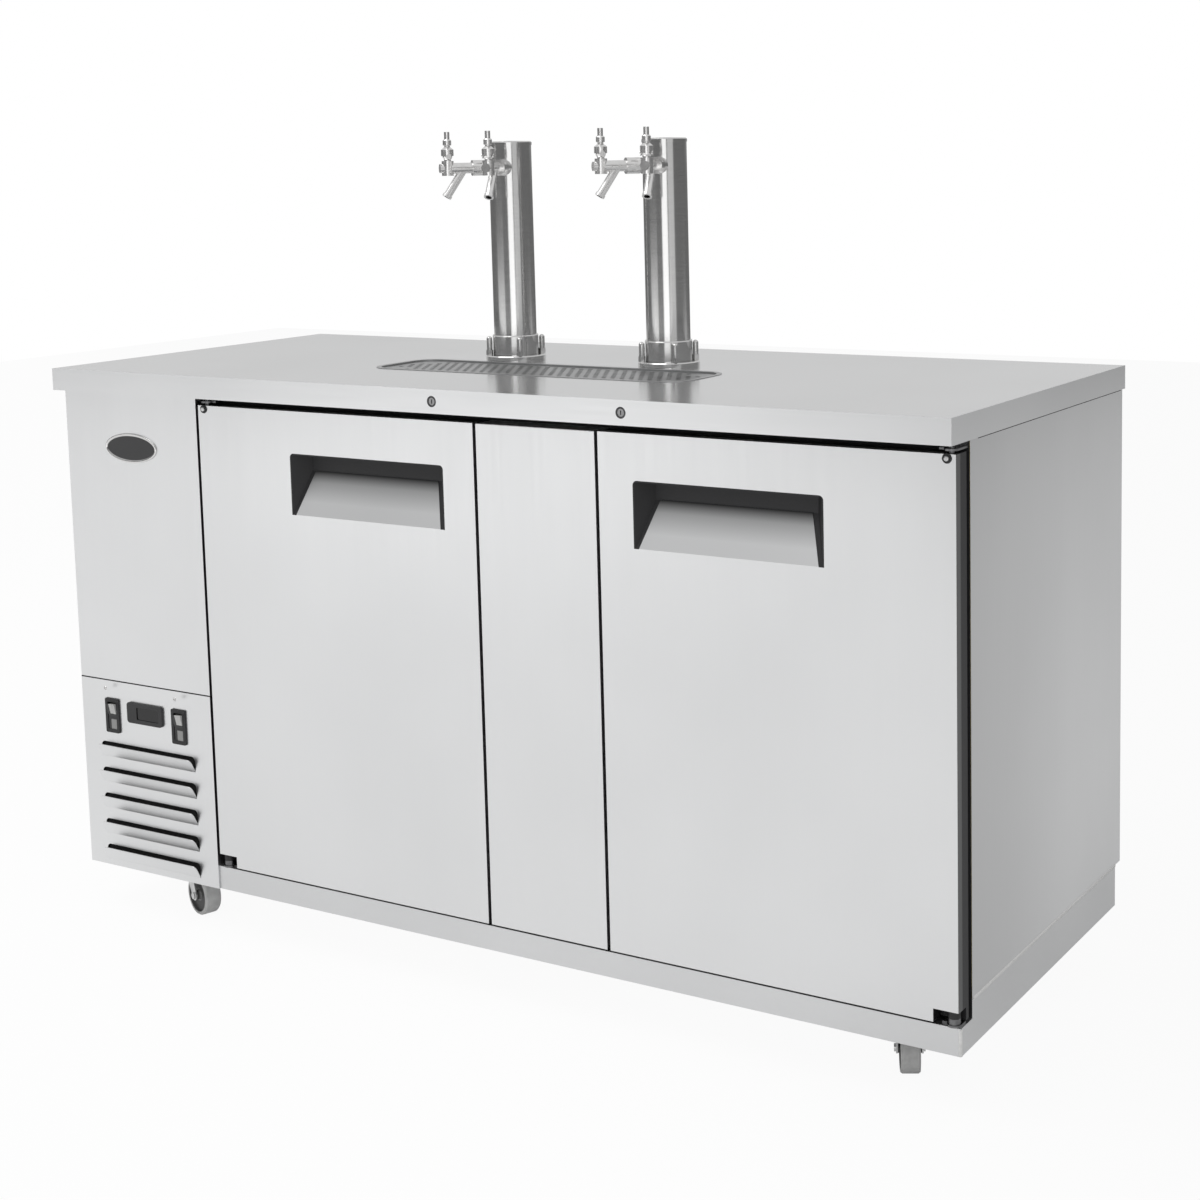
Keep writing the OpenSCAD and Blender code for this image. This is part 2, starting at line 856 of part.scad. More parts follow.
// Threaded shanks with the collars that seat on the columns
module tap_shanks() {
    collar_t = 8;
    color("silver")
        on_taps()
            difference() {
                union() {
                    translate([shank_r0, 0, 0])
                        rod_x(shank_d, nut_r0 + 5 - shank_r0);
                    difference() {
                        translate([tower_r - 8, 0, 0])
                            rotate([0, 90, 0])
                                cylinder(r1 = shank_d / 2 + 6, r2 = shank_d / 2 + 3, h = collar_t + 8);
                        translate([0, 0, -tower_r])
                            cylinder(r = tower_r + fit, h = tower_d);
                    }
                }
                translate([shank_r0 - over, 0, 0])
                    rod_x(tube_d, nut_r0 + tower_r);
            }
}

// Slotted rings that draw the taps onto their shanks
module coupling_nuts() {
    notch = 4;
    color("silver")
        on_taps()
            translate([nut_r0, 0, 0])
                difference() {
                    rod_x(collar_d, nut_w);
                    translate([-over, 0, 0])
                        rod_x(shank_d + 2 * fit, nut_w + 2 * over);
                    for (a = [0 : 60 : 300])
                        rotate([a, 0, 0])
                            translate([nut_w / 4, -notch / 2, collar_d / 2 - 2])
                                cube([nut_w / 2, notch, notch]);
                }
}

// Tap bodies with their valve barrels, spouts and the balls that the levers turn on
module tap_bodies() {
    spout_x = tap_reach - 30;
    spout_tip = tap_reach + 4;
    spout_l = norm([spout_tip - spout_x, spout_drop]);
    spout_a = 180 - atan2(spout_tip - spout_x, spout_drop);
    color("silver")
        on_taps()
            difference() {
                union() {
                    translate([nut_r0 + 5, 0, 0])
                        rod_x(shank_d, tail_end - nut_r0 - 5);
                    translate([tail_end - over, 0, 0])
                        rod_x(tap_d, tap_reach - tail_end);
                    translate([tap_reach, 0, -13])
                        cylinder(d = tap_d + 2, h = 26);
                    translate([tap_reach, 0, 0])
                        rod_x(tap_d - 3, tap_d / 2 + 5);
                    translate([tap_reach, 0, 0])
                        cylinder(d = 12.5, h = ball_h);
                    translate([tap_reach, 0, ball_h])
                        sphere(d = ball_d);
                    translate([tap_reach, -cup_r, ball_h])
                        rod_y(pivot_d, 2 * cup_r);
                    translate([spout_x, 0, 0])
                        rotate([0, spout_a, 0]) {
                            cylinder(d = spout_d, h = spout_l);
                            translate([0, 0, spout_l - 5])
                                cylinder(d = spout_d + 2.5, h = 5);
                        }
                }
                translate([spout_x, 0, 0])
                    rotate([0, spout_a, 0])
                        translate([0, 0, spout_l - 34])
                            cylinder(d = spout_d - 4, h = 40);
                translate([nut_r0, 0, 0])
                    rod_x(tube_d, tail_end - nut_r0);
            }
}

// A tap lever: cup over the ball with two ears on the pin, stem, locking ring and threaded stud
module tap_lever(tower, side) {
    cup = ball_h + 0.8;
    ear = ball_d / 2 + 2 * run;
    color("silver")
        at_tap(tower, side)
            translate([tap_reach, 0, 0])
                difference() {
                    union() {
                        rotate_extrude()
                            polygon([[0, cup], [cup_r, cup], [cup_r, cup + 11], [5, cup + 16],
                                [5, cup + 18], [7.5, cup + 19], [7.5, cup + 27], [6, cup + 29],
                                [stud_d / 2, cup + 29], [stud_d / 2, stud_h], [0, stud_h]]);
                        for (y = [-cup_r, ear])
                            translate([0, y, ball_h])
                                rod_y(pivot_d + 5, cup_r - ear);
                    }
                    translate([0, 0, ball_h])
                        sphere(d = ball_d + 2 * run);
                    translate([0, -cup_r - over, ball_h])
                        rod_y(pivot_d + 2 * fit, 2 * (cup_r + over));
                }
}

module tap_lever_1() {
    tap_lever(-1, -1);
}

module tap_lever_2() {
    tap_lever(-1, 1);
}

module tap_lever_3() {
    tap_lever(1, -1);
}

module tap_lever_4() {
    tap_lever(1, 1);
}

// Steel beer tubes from the shanks down through the columns into the cabinet
module beer_tubes() {
    bend = tube_d;
    down = shank_r0 - 4 - bend;
    color("lightgray")
        on_taps() {
            difference() {
                union() {
                    translate([down + bend, 0, 0])
                        rod_x(tube_d - 2 * fit, shank_r0 + 8 - down - bend);
                    translate([down + bend, 0, -bend])
                        rotate([90, 0, 0])
                            rotate_extrude(angle = 90, start = 90)
                                translate([bend, 0])
                                    circle(d = tube_d - 2 * fit);
                    translate([down, 0, tube_z - top_h - tap_h])
                        cylinder(d = tube_d - 2 * fit, h = top_h + tap_h - tube_z - bend);
                }
                translate([down, 0, tube_z - top_h - tap_h - over])
                    cylinder(d = tube_d - 3, h = 40);
            }
        }
}

// Where a lock sits across the front: side -1 is the left door's
function lock_x(side) = side < 0 ? left_x0 + door_w - lock_in : right_x1 - door_w + lock_in;

// Lock barrels in the worktop's front edge
module lock_barrels() {
    color("silver")
        for (x = [lock_x(-1), lock_x(1)])
            translate([x, edge_y, lock_z])
                difference() {
                    union() {
                        rod_y(lock_d, sheet + lock_l);
                        translate([0, sheet, 0])
                            rod_y(lock_d + 6, 3);
                    }
                    translate([0, -2 * over, 0])
                        rod_y(plug_d + 2 * fit, sheet + lock_l + 3 * over);
                }
}

// A lock plug with its key slot in front and its cam behind
module lock_plug(side) {
    color("dimgray")
        translate([lock_x(side), edge_y, lock_z])
            difference() {
                union() {
                    translate([0, 0.4, 0])
                        rod_y(plug_d, plug_end - edge_y + run);
                    translate([0, plug_end - edge_y + run, 0])
                        rotate([-90, 0, 0])
                            linear_extrude(cam_t) {
                                circle(d = plug_d);
                                translate([0, -plug_d / 2])
                                    square([cam_l - plug_d / 2, plug_d]);
                                translate([cam_l - plug_d / 2, 0])
                                    circle(d = plug_d);
                            }
                }
                translate([-0.9, -2 * over, -3.5])
                    cube([1.8, 8, 7]);
            }
}

module left_lock_plug() {
    lock_plug(-1);
}

module right_lock_plug() {
    lock_plug(1);
}

// Places a door, drawn with its hinge edge at X = 0, on its side of the cabinet
module on_door(side) {
    if (side < 0)
        translate([left_x0, 0, 0])
            children();
    else
        translate([right_x1, 0, 0])
            mirror([1, 0, 0])
                children();
}

// The sloping steel apron of a handle, bent in from the door skin
module grip_slope() {
    hull() {
        block([grip_x0 + slope_in, door_y, grip_z0], [grip_x1 - slope_in, door_y + sheet, grip_z0 + 0.5]);
        block([grip_x0 + grip_lean + slope_in, door_y + grip_d - sheet, grip_z1 - grip_slot - 0.5],
            [grip_x1 - grip_lean - slope_in, door_y + grip_d, grip_z1 - grip_slot]);
    }
}

// The finger space of a handle above its slope
module grip_space() {
    hull() {
        block([grip_x0 + grip_t, door_y - over, grip_z0], [grip_x1 - grip_t, door_y, grip_z1 - grip_t]);
        block([grip_x0 + grip_lean, door_y + grip_d - over, grip_z1 - grip_slot],
            [grip_x1 - grip_lean, door_y + grip_d, grip_z1 - grip_t]);
    }
}

// The block of a door that its handle recess takes out
module grip_cut(y0) {
    upright(y0, door_y + grip_d + grip_t - y0)
        grip_outline();
}

// The outline of a handle opening, round at its upper corners
module grip_outline() {
    translate([(grip_x0 + grip_x1) / 2, grip_z0])
        tab(grip_w, grip_h, 3 * grip_t);
}

// The corner of a door that its lower hinge takes out
module hinge_notch() {
    block([-over, door_y - over, door_z0 - over], [notch_w, door_y + notch_d, door_z0 + notch_h]);
}

module door_skin(side) {
    color("lightgray")
        on_door(side) {
            difference() {
                block([0, door_y, door_z0], [door_w, door_y + skin_rim, door_z1]);
                block([sheet, door_y + sheet, door_z0 + sheet],
                    [door_w - sheet, door_y + skin_rim + over, door_z1 - sheet]);
                grip_cut(door_y - over);
                hinge_notch();
                pin_holes();
            }
            grip_slope();
        }
}

// Clear passage for the upper hinge pin and the bushes
module pin_holes() {
    translate([hinge_in, door_y + hinge_in, door_z0 + notch_h - over])
        cylinder(d = bush_d + 2 * fit, h = bush_l + over);
    translate([hinge_in, door_y + hinge_in, door_z1 - bush_l])
        cylinder(d = bush_d + 2 * fit, h = bush_l + over);
}

// The foamed door core in its dark edge frame, with the hinge bushes
module door_core(side) {
    color("dimgray")
        on_door(side) {
            difference() {
                union() {
                    block([sheet, door_y + sheet, door_z0 + sheet],
                        [door_w - sheet, door_y + skin_rim, door_z1 - sheet]);
                    block([0, door_y + skin_rim, door_z0], [door_w, door_y + door_t - liner_t, door_z1]);
                }
                grip_cut(door_y - over);
                hinge_notch();
                pin_holes();
            }
            for (z = [door_z0 + notch_h, door_z1 - bush_l])
                translate([hinge_in, door_y + hinge_in, z])
                    difference() {
                        cylinder(d = bush_d, h = bush_l);
                        translate([0, 0, -over])
                            cylinder(d = pin_d + 2 * fit, h = bush_l + 2 * over);
                    }
            translate([hinge_in, door_y + hinge_in, base_top + 2 * leaf_t + 6])
                difference() {
                    cylinder(d = bush_d + 4, h = door_z0 + notch_h - base_top - 2 * leaf_t - 6);
                    translate([0, 0, -over])
                        cylinder(d = pin_d + 2 * fit, h = notch_h + 2 * over);
                }
        }
}

// The inner panel of a door with its raised middle
module door_liner(side) {
    rim = seal_in + seal_w + 14;
    color("silver")
        on_door(side)
            translate([door_w / 2, 0, (door_z0 + door_z1) / 2]) {
                upright(door_y + door_t - liner_t, liner_t)
                    rounded(door_w - 8, door_z1 - door_z0 - 8, 6);
                upright(door_y + door_t - over / 2, press_h + over / 2)
                    rounded(door_w - 2 * rim, door_z1 - door_z0 - 2 * rim, liner_r);
            }
}

// A ring of the given width round the inside of a door
module seal_ring(inset, width, y0, y1) {
    w = door_w - 2 * inset;
    h = door_z1 - door_z0 - 2 * inset;
    translate([door_w / 2, 0, (door_z0 + door_z1) / 2])
        upright(y0, y1 - y0)
            difference() {
                rounded(w, h, 6);
                square([w - 2 * width, h - 2 * width], center = true);
            }
}

// The magnetic seal: foot, bellows neck and sealing cushion
module door_seal(side) {
    y0 = door_y + door_t;
    color("dimgray")
        on_door(side) {
            seal_ring(seal_in + 3, seal_w - 6, y0, y0 + seal_t * 0.35);
            seal_ring(seal_in + 6, seal_w - 12, y0 + seal_t * 0.3, y0 + seal_t * 0.6);
            seal_ring(seal_in, seal_w, y0 + seal_t * 0.55, y0 + seal_t - run);
        }
}

// The moulded recess behind a handle opening
module handle_recess(side) {
    color("dimgray")
        on_door(side)
            difference() {
                grip_cut(door_y);
                grip_space();
                grip_slope();
            }
}

module left_door_skin() {
    door_skin(-1);
}

module left_door_core() {
    door_core(-1);
}

module left_door_liner() {
    door_liner(-1);
}

module left_door_seal() {
    door_seal(-1);
}

module left_handle_recess() {
    handle_recess(-1);
}

module right_door_skin() {
    door_skin(1);
}

module right_door_core() {
    door_core(1);
}

module right_door_liner() {
    door_liner(1);
}

module right_door_seal() {
    door_seal(1);
}

module right_handle_recess() {
    handle_recess(1);
}

// A hinge leaf: a strip with a round nose over the pin
module hinge_leaf(z, y1, w) {
    translate([0, 0, z])
        linear_extrude(leaf_t) {
            translate([hinge_in, door_y + hinge_in])
                circle(r = hinge_in - 1);
            translate([1, door_y + hinge_in])
                square([w, y1 - door_y - hinge_in]);
        }
}

// Hinge brackets with their pins: below each door on the plinth, above it on the face frame
module hinge_brackets() {
    top_leaf = door_z1 + 4;
    w = 30;
    color("gray")
        for (side = [-1, 1])
            on_door(side) {
                hinge_leaf(base_top, plinth_y + base_t + 22, w);
                translate([hinge_in, door_y + hinge_in, base_top])
                    cylinder(d = bush_d + 4, h = 2 * leaf_t + 5.7);
                translate([hinge_in, door_y + hinge_in, base_top + leaf_t])
                    cylinder(d = pin_d, h = door_z0 + notch_h + bush_l - 2 - base_top - leaf_t);
                hinge_leaf(top_leaf, face_y, w);
                block([1, face_y - leaf_t, top_leaf], [1 + w, face_y, edge_z - 2]);
                translate([hinge_in, door_y + hinge_in, door_z1 - bush_l + 2])
                    cylinder(d = pin_d, h = top_leaf + leaf_t - door_z1 + bush_l);
            }
}

// The top plates of the casters with their swivel races
module caster_plates() {
    plate_w = 66;
    plate_t = 3;
    color("silver")
        for (p = caster_at)
            translate([p[0], p[1], 0])
                difference() {
                    union() {
                        translate([0, 0, caster_h - plate_t])
                            linear_extrude(plate_t)
                                rounded(plate_w, plate_w, 6);
                        translate([0, 0, caster_h - plate_t - race_h])
                            cylinder(d = 42, h = race_h + over);
                    }
                    translate([0, 0, caster_h - plate_t - race_h - over])
                        cylinder(d = stem_d + 2 * fit, h = race_h + plate_t + 2 * over);
                    for (x = [-1, 1], y = [-1, 1])
                        translate([x * 25, y * 25, caster_h - plate_t - over])
                            cylinder(d = 7, h = plate_t + 2 * over);
                }
}

// A swivel fork with its stem and axle
module caster_fork(i) {
    crown_z = caster_h - 3 - race_h - run - crown_t;
    leg_r = axle_d / 2 + 5;
    color("silver")
        translate([caster_at[i][0], caster_at[i][1], 0])
            rotate([0, 0, caster_turn[i]]) {
                difference() {
                    union() {
                        translate([0, 0, crown_z])
                            cylinder(d = max(44, 2 * (fork_gap + fork_t)), h = crown_t);
                        translate([0, 0, crown_z])
                            cylinder(d = stem_d, h = caster_h - crown_z);
                        for (s = [-1, 1])
                            translate([0, s * (fork_gap + fork_t / 2), 0])
                                upright(-fork_t / 2, fork_t) {
                                    polygon([[-14, crown_z + crown_t], [12, crown_z + crown_t],
                                        [trail + leg_r, wheel_d / 2], [trail - leg_r, wheel_d / 2]]);
                                    translate([trail, wheel_d / 2])
                                        circle(r = leg_r);
                                }
                    }
                    translate([trail, -fork_gap - fork_t - over, wheel_d / 2])
                        rod_y(axle_d + 2 * fit, 2 * (fork_gap + fork_t + over));
                }
                translate([trail, -fork_gap - fork_t, wheel_d / 2])
                    rod_y(axle_d, 2 * (fork_gap + fork_t));
                for (s = [-1, 1])
                    translate([trail, s * (fork_gap + fork_t + 1.5) - 1.5, wheel_d / 2])
                        rod_y(axle_d + 4, 3);
            }
}

// A caster wheel: hub, web and a tyre with round shoulders
module caster_wheel(i) {
    r = wheel_d / 2;
    half = wheel_w / 2;
    hub = fork_gap - run;
    color("dimgray")
        translate([caster_at[i][0], caster_at[i][1], wheel_d / 2])
            rotate([0, 0, caster_turn[i]])
                translate([trail, 0, 0])
                    rotate([90, 0, 0])
                        rotate_extrude()
                            polygon([[axle_d / 2 + fit, -hub], [axle_d / 2 + 4, -hub],
                                [axle_d / 2 + 5, 4 - half], [r - 9, 4 - half], [r - 7, -half],
                                [r - 2, -half], [r, 3 - half], [r, half - 3], [r - 2, half],
                                [r - 7, half], [r - 9, half - 4], [axle_d / 2 + 5, half - 4],
                                [axle_d / 2 + 4, hub], [axle_d / 2 + fit, hub]]);
}

module caster_fork_1() {
    caster_fork(0);
}

module caster_fork_2() {
    caster_fork(1);
}

module caster_fork_3() {
    caster_fork(2);
}

module caster_fork_4() {
    caster_fork(3);
}

module caster_wheel_1() {
    caster_wheel(0);
}

module caster_wheel_2() {
    caster_wheel(1);
}

module caster_wheel_3() {
    caster_wheel(2);
}

module caster_wheel_4() {
    caster_wheel(3);
}

// The sealed compressor on its foot plate at the back of the machine compartment
module compressor() {
    r = comp_d / 2;
    foot = 8;
    color("dimgray")
        translate([machine_mid, back_y - 60 - r, base_top]) {
            rotate_extrude()
                polygon([[0, foot - over], [r * 0.55, foot - over], [r * 0.9, foot + 22], [r, foot + 42],
                    [r + 4, foot + 44], [r + 4, foot + 52], [r, foot + 54], [r * 0.97, comp_h * 0.72],
                    [r * 0.75, comp_h * 0.93], [r * 0.3, comp_h], [0, comp_h]]);
            linear_extrude(foot)
                rounded(2 * r * 0.9, 2 * r * 1.1, 20);
            translate([r * 0.8, 0, comp_h * 0.55])
                rod_x(10, r * 0.2 + 16);
        }
}

// The finned condenser behind the louvres
module condenser_coil() {
    w = machine_w - 2 * coil_side;
    h = fan_d + 20;
    fin_n = 34;
    tube_n = 6;
    z0 = base_top;
    color("slategray")
        translate([machine_mid, coil_y0, z0]) {
            for (i = [0 : fin_n - 1])
                translate([(i / (fin_n - 1) - 0.5) * (w - 1), 0, 0])
                    translate([-0.5, 0, 0])
                        cube([1, coil_t, h]);
            for (k = [0 : tube_n - 1])
                translate([-w / 2 - 6, coil_t / 2, (k + 0.5) * h / tube_n])
                    rod_x(10, w + 12);
        }
}

// The fan shroud with its motor and spider
module condenser_shroud() {
    w = machine_w - 2 * coil_side;
    h = fan_d + 2 * shroud_rim;
    y0 = coil_y0 + coil_t;
    depth = 30;
    motor_d = 62;
    color("dimgray")
        difference() {
            union() {
                translate([machine_mid, 0, base_top + h / 2])
                    upright(y0, 2)
                        square([w, h], center = true);
                translate([machine_mid, y0, fan_z])
                    rod_y(fan_d + 12, depth);
                translate([machine_mid - 8, y0 + depth + 12, base_top])
                    cube([16, 3, fan_z - base_top]);
                translate([machine_mid - 8, y0 + 1, base_top])
                    cube([16, depth + 14, 3]);
                translate([machine_mid, y0 + depth + 12, fan_z])
                    rod_y(motor_d, 60);
            }
            difference() {
                translate([machine_mid, y0 - over, fan_z])
                    rod_y(fan_d + 8, depth + 2 * over + 1);
                translate([machine_mid - 8, y0 - over, base_top])
                    cube([16, depth + over, 3]);
            }
        }
    color("silver")
        translate([machine_mid, fan_y - 4, fan_z])
            rod_y(shaft_d, y0 + depth + 13 - fan_y + 4);
}

// A fan along +Z: hub with a shaft bore and pitched blades
module fan(d, t, blades) {
    hub_d = d * 0.28;
    difference() {
        union() {
            cylinder(d = hub_d, h = t);
            for (i = [0 : blades - 1])
                rotate([0, 0, i * 360 / blades])
                    translate([0, 0, t / 2])
                        rotate([32, 0, 0])
                            translate([hub_d / 2 - 3, -d * 0.12, -1])
                                linear_extrude(2)
                                    intersection() {
                                        square([d * 0.45, d * 0.24]);
                                        translate([3 - hub_d / 2, d * 0.12])
                                            circle(d = d - 2);
                                    }
        }
        translate([0, 0, -over])
            cylinder(d = shaft_d + 2 * fit, h = t + 2 * over);
    }
}

module condenser_fan() {
    color("black")
        translate([machine_mid, fan_y, fan_z])
            rotate([-90, 0, 0])
                fan(fan_d, fan_t, 5);
}

// The evaporator's cover on the left wall, with its fan opening and side vents
module evaporator_cover() {
    t = 2;
    slot_n = 7;
    x1 = in_x0 + cold_w;
    color("whitesmoke")
        difference() {
            block([in_x0, cold_y - cold_l / 2, cold_z - cold_h / 2],
                [x1, cold_y + cold_l / 2, cold_z + cold_h / 2]);
            block([in_x0 - over, cold_y - cold_l / 2 + t, cold_z - cold_h / 2 + t],
                [x1 - t, cold_y + cold_l / 2 - t, cold_z + cold_h / 2 - t]);
            translate([x1 - t - over, cold_y, cold_z])
                difference() {
                    rod_x(cold_fan_d + 10, t + 2 * over);
                    for (k = [0.35, 0.7])
                        difference() {
                            rod_x(cold_fan_d * k + 3, t + 2 * over);
                            rod_x(cold_fan_d * k - 3, t + 2 * over);
                        }
                    for (a = [0 : 45 : 135])
                        rotate([a, 0, 0])
                            translate([0, -1.5, -cold_fan_d])
                                cube([t + 2 * over, 3, 2 * cold_fan_d]);
                }
            for (i = [0 : slot_n - 1])
                translate([in_x0 + 20, cold_y - cold_l / 2 - over, cold_z + (i - slot_n / 2) * 24])
                    cube([cold_w - 50, cold_l + 2 * over, 8]);
        }
}

// The evaporator's finned coil on the wall, with the fan motor on its bracket
module evaporator_coil() {
    fin_n = 16;
    w = 34;
    l = cold_l - 50;
    h = cold_h - 30;
    color("lightslategray")
        translate([in_x0, cold_y, cold_z]) {
            for (i = [0 : fin_n - 1])
                translate([0, (i / (fin_n - 1) - 0.5) * (l - 1) - 0.5, -h / 2])
                    cube([w, 1, h]);
            for (k = [-2 : 2])
                translate([w / 2, -l / 2 - 8, k * h / 5])
                    rod_y(9, l + 16);
            translate([w - 2, -l / 2, -8])
                cube([3, l, 16]);
            translate([w - 1, 0, 0])
                rod_x(44, cold_fan_x - in_x0 - w - 4);
            translate([w - 1, 0, 0])
                rod_x(shaft_d, cold_fan_x - in_x0 - w + 16);
        }
}

module evaporator_fan() {
    color("black")
        translate([cold_fan_x, cold_y, cold_z])
            rotate([0, 90, 0])
                fan(cold_fan_d, 18, 5);
}

base_frame();
left_side_panel();
right_side_panel();
back_panel();
face_frame();
inner_liner();
insulation();
centre_post();
post_cover();
worktop();
upper_front_panel();
louvre_panel();
temperature_controller();
switch_bezels();
drip_tray();
tower_flanges();
flange_nuts();
tower_columns();
tower_caps();
tap_shanks();
coupling_nuts();
tap_bodies();
beer_tubes();
hinge_brackets();
lock_barrels();
caster_plates();
compressor();
condenser_coil();
condenser_shroud();
evaporator_cover();
evaporator_coil();
left_door_skin();
left_door_core();
left_door_liner();
left_door_seal();
left_handle_recess();
right_door_skin();
right_door_core();
right_door_liner();
right_door_seal();
right_handle_recess();
drip_grid();
tap_lever_1();
tap_lever_2();
tap_lever_3();
tap_lever_4();
left_lock_plug();
right_lock_plug();
left_rocker();
right_rocker();
condenser_fan();
evaporator_fan();
caster_fork_1();
caster_fork_2();
caster_fork_3();
caster_fork_4();
caster_wheel_1();
caster_wheel_2();
caster_wheel_3();
caster_wheel_4();
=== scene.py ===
import math
import bmesh
import bpy
from mathutils import Matrix, Vector


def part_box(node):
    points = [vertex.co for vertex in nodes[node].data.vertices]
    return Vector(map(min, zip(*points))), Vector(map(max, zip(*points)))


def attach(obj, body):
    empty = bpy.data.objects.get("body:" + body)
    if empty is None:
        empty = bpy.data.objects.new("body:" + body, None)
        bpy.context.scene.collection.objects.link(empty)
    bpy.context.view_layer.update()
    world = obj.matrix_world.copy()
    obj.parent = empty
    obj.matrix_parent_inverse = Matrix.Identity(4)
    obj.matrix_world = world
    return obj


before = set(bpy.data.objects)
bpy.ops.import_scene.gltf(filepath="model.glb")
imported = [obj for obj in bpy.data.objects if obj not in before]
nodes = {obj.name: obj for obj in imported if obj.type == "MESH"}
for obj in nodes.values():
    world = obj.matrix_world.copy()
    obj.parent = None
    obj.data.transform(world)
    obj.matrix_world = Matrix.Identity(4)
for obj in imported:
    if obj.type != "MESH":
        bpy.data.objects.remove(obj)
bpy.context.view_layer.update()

# The base: a pan of 1.5 mm satin stainless sheet, folded and spot-welded, with the grain along the
# cabinet. It stands close to the floor, so it is duller than the doors.


def dress(finish, *names):
    for name in names:
        nodes[name].data.materials.clear()
        nodes[name].data.materials.append(finish)


def rolled_sheet(name, grain, dark, light, smooth, dull):
    sheet = bpy.data.materials.new(name)
    sheet.use_nodes = True
    tree = sheet.node_tree
    shader = tree.nodes["Principled BSDF"]
    shader.inputs["Metallic"].default_value = 1.0
    shader.inputs["IOR"].default_value = 2.5
    place = tree.nodes.new("ShaderNodeTexCoord")
    stretch = tree.nodes.new("ShaderNodeMapping")
    stretch.inputs["Scale"].default_value = grain
    lines = tree.nodes.new("ShaderNodeTexNoise")
    lines.inputs["Scale"].default_value = 1.0
    lines.inputs["Detail"].default_value = 5.0
    cloud = tree.nodes.new("ShaderNodeTexNoise")
    cloud.inputs["Scale"].default_value = 2.2
    cloud.inputs["Detail"].default_value = 2.0
    gloss = tree.nodes.new("ShaderNodeMapRange")
    gloss.inputs["To Min"].default_value = smooth
    gloss.inputs["To Max"].default_value = dull
    tone = tree.nodes.new("ShaderNodeValToRGB")
    tone.color_ramp.elements[0].position = 0.3
    tone.color_ramp.elements[0].color = (*dark, 1)
    tone.color_ramp.elements[1].position = 0.7
    tone.color_ramp.elements[1].color = (*light, 1)
    relief = tree.nodes.new("ShaderNodeBump")
    relief.inputs["Strength"].default_value = 0.05
    relief.inputs["Distance"].default_value = 0.0002
    tree.links.new(place.outputs["Object"], stretch.inputs["Vector"])
    tree.links.new(stretch.outputs["Vector"], lines.inputs["Vector"])
    tree.links.new(place.outputs["Object"], cloud.inputs["Vector"])
    tree.links.new(lines.outputs["Fac"], gloss.inputs["Value"])
    tree.links.new(gloss.outputs["Result"], shader.inputs["Roughness"])
    tree.links.new(cloud.outputs["Fac"], tone.inputs["Fac"])
    tree.links.new(tone.outputs["Color"], shader.inputs["Base Color"])
    tree.links.new(lines.outputs["Fac"], relief.inputs["Height"])
    tree.links.new(relief.outputs["Normal"], shader.inputs["Normal"])
    return sheet


def fold_edges(name, radius):
    weld = nodes[name].modifiers.new("weld", "WELD")
    weld.merge_threshold = 0.00002
    fold = nodes[name].modifiers.new("fold", "BEVEL")
    fold.width = radius
    fold.segments = 3
    fold.limit_method = "ANGLE"
    fold.angle_limit = math.radians(40)
    fold.harden_normals = True


base_steel = rolled_sheet("stainless_base", (6, 420, 420), (0.66, 0.665, 0.67), (0.72, 0.725, 0.73),
                          0.30, 0.42)
dress(base_steel, "base_frame")
fold_edges("base_frame", 0.0006)

# Swivel casters under the two rails: pressed plates and forks, zinc-plated with a mottled bloom. The
# wheels are dark rubber on a paler hub, and the tread is painted pale, a painted highlight for its sheen.


def mottled(name, dark, light, smooth, dull, scale, detail=3.0, metal=0.0, stretch=(1, 1, 1), relief=0.0):
    finish = bpy.data.materials.new(name)
    finish.use_nodes = True
    tree = finish.node_tree
    shader = tree.nodes["Principled BSDF"]
    shader.inputs["Metallic"].default_value = metal
    place = tree.nodes.new("ShaderNodeTexCoord")
    spread = tree.nodes.new("ShaderNodeMapping")
    spread.inputs["Scale"].default_value = stretch
    spots = tree.nodes.new("ShaderNodeTexNoise")
    spots.inputs["Scale"].default_value = scale
    spots.inputs["Detail"].default_value = detail
    tone = tree.nodes.new("ShaderNodeValToRGB")
    tone.color_ramp.elements[0].position = 0.25
    tone.color_ramp.elements[0].color = (*dark, 1)
    tone.color_ramp.elements[1].position = 0.75
    tone.color_ramp.elements[1].color = (*light, 1)
    gloss = tree.nodes.new("ShaderNodeMapRange")
    gloss.inputs["To Min"].default_value = smooth
    gloss.inputs["To Max"].default_value = dull
    tree.links.new(place.outputs["Object"], spread.inputs["Vector"])
    tree.links.new(spread.outputs["Vector"], spots.inputs["Vector"])
    tree.links.new(spots.outputs["Fac"], tone.inputs["Fac"])
    tree.links.new(spots.outputs["Fac"], gloss.inputs["Value"])
    tree.links.new(tone.outputs["Color"], shader.inputs["Base Color"])
    tree.links.new(gloss.outputs["Result"], shader.inputs["Roughness"])
    if relief:
        rise = tree.nodes.new("ShaderNodeBump")
        rise.inputs["Strength"].default_value = relief
        rise.inputs["Distance"].default_value = 0.0003
        tree.links.new(spots.outputs["Fac"], rise.inputs["Height"])
        tree.links.new(rise.outputs["Normal"], shader.inputs["Normal"])
    return finish


# Multiplies a material's colour by a ramp along a mask; every use paints light or shade.
def paint_light_and_shade(finish, along, *stops):
    tree = finish.node_tree
    shader = tree.nodes["Principled BSDF"]
    unpainted_colour = shader.inputs["Base Color"].links[0].from_socket
    ramp = tree.nodes.new("ShaderNodeValToRGB")
    while len(ramp.color_ramp.elements) < len(stops):
        ramp.color_ramp.elements.new(0.5)
    for stop, (position, share) in zip(ramp.color_ramp.elements, stops):
        stop.position = position
        stop.color = (share, share, share, 1)
    darker = tree.nodes.new("ShaderNodeMix")
    darker.data_type = "RGBA"
    darker.blend_type = "MULTIPLY"
    darker.inputs["Factor"].default_value = 1.0
    tree.links.new(along, ramp.inputs["Fac"])
    tree.links.new(unpainted_colour, darker.inputs["A"])
    tree.links.new(ramp.outputs["Color"], darker.inputs["B"])
    tree.links.new(darker.outputs["Result"], shader.inputs["Base Color"])


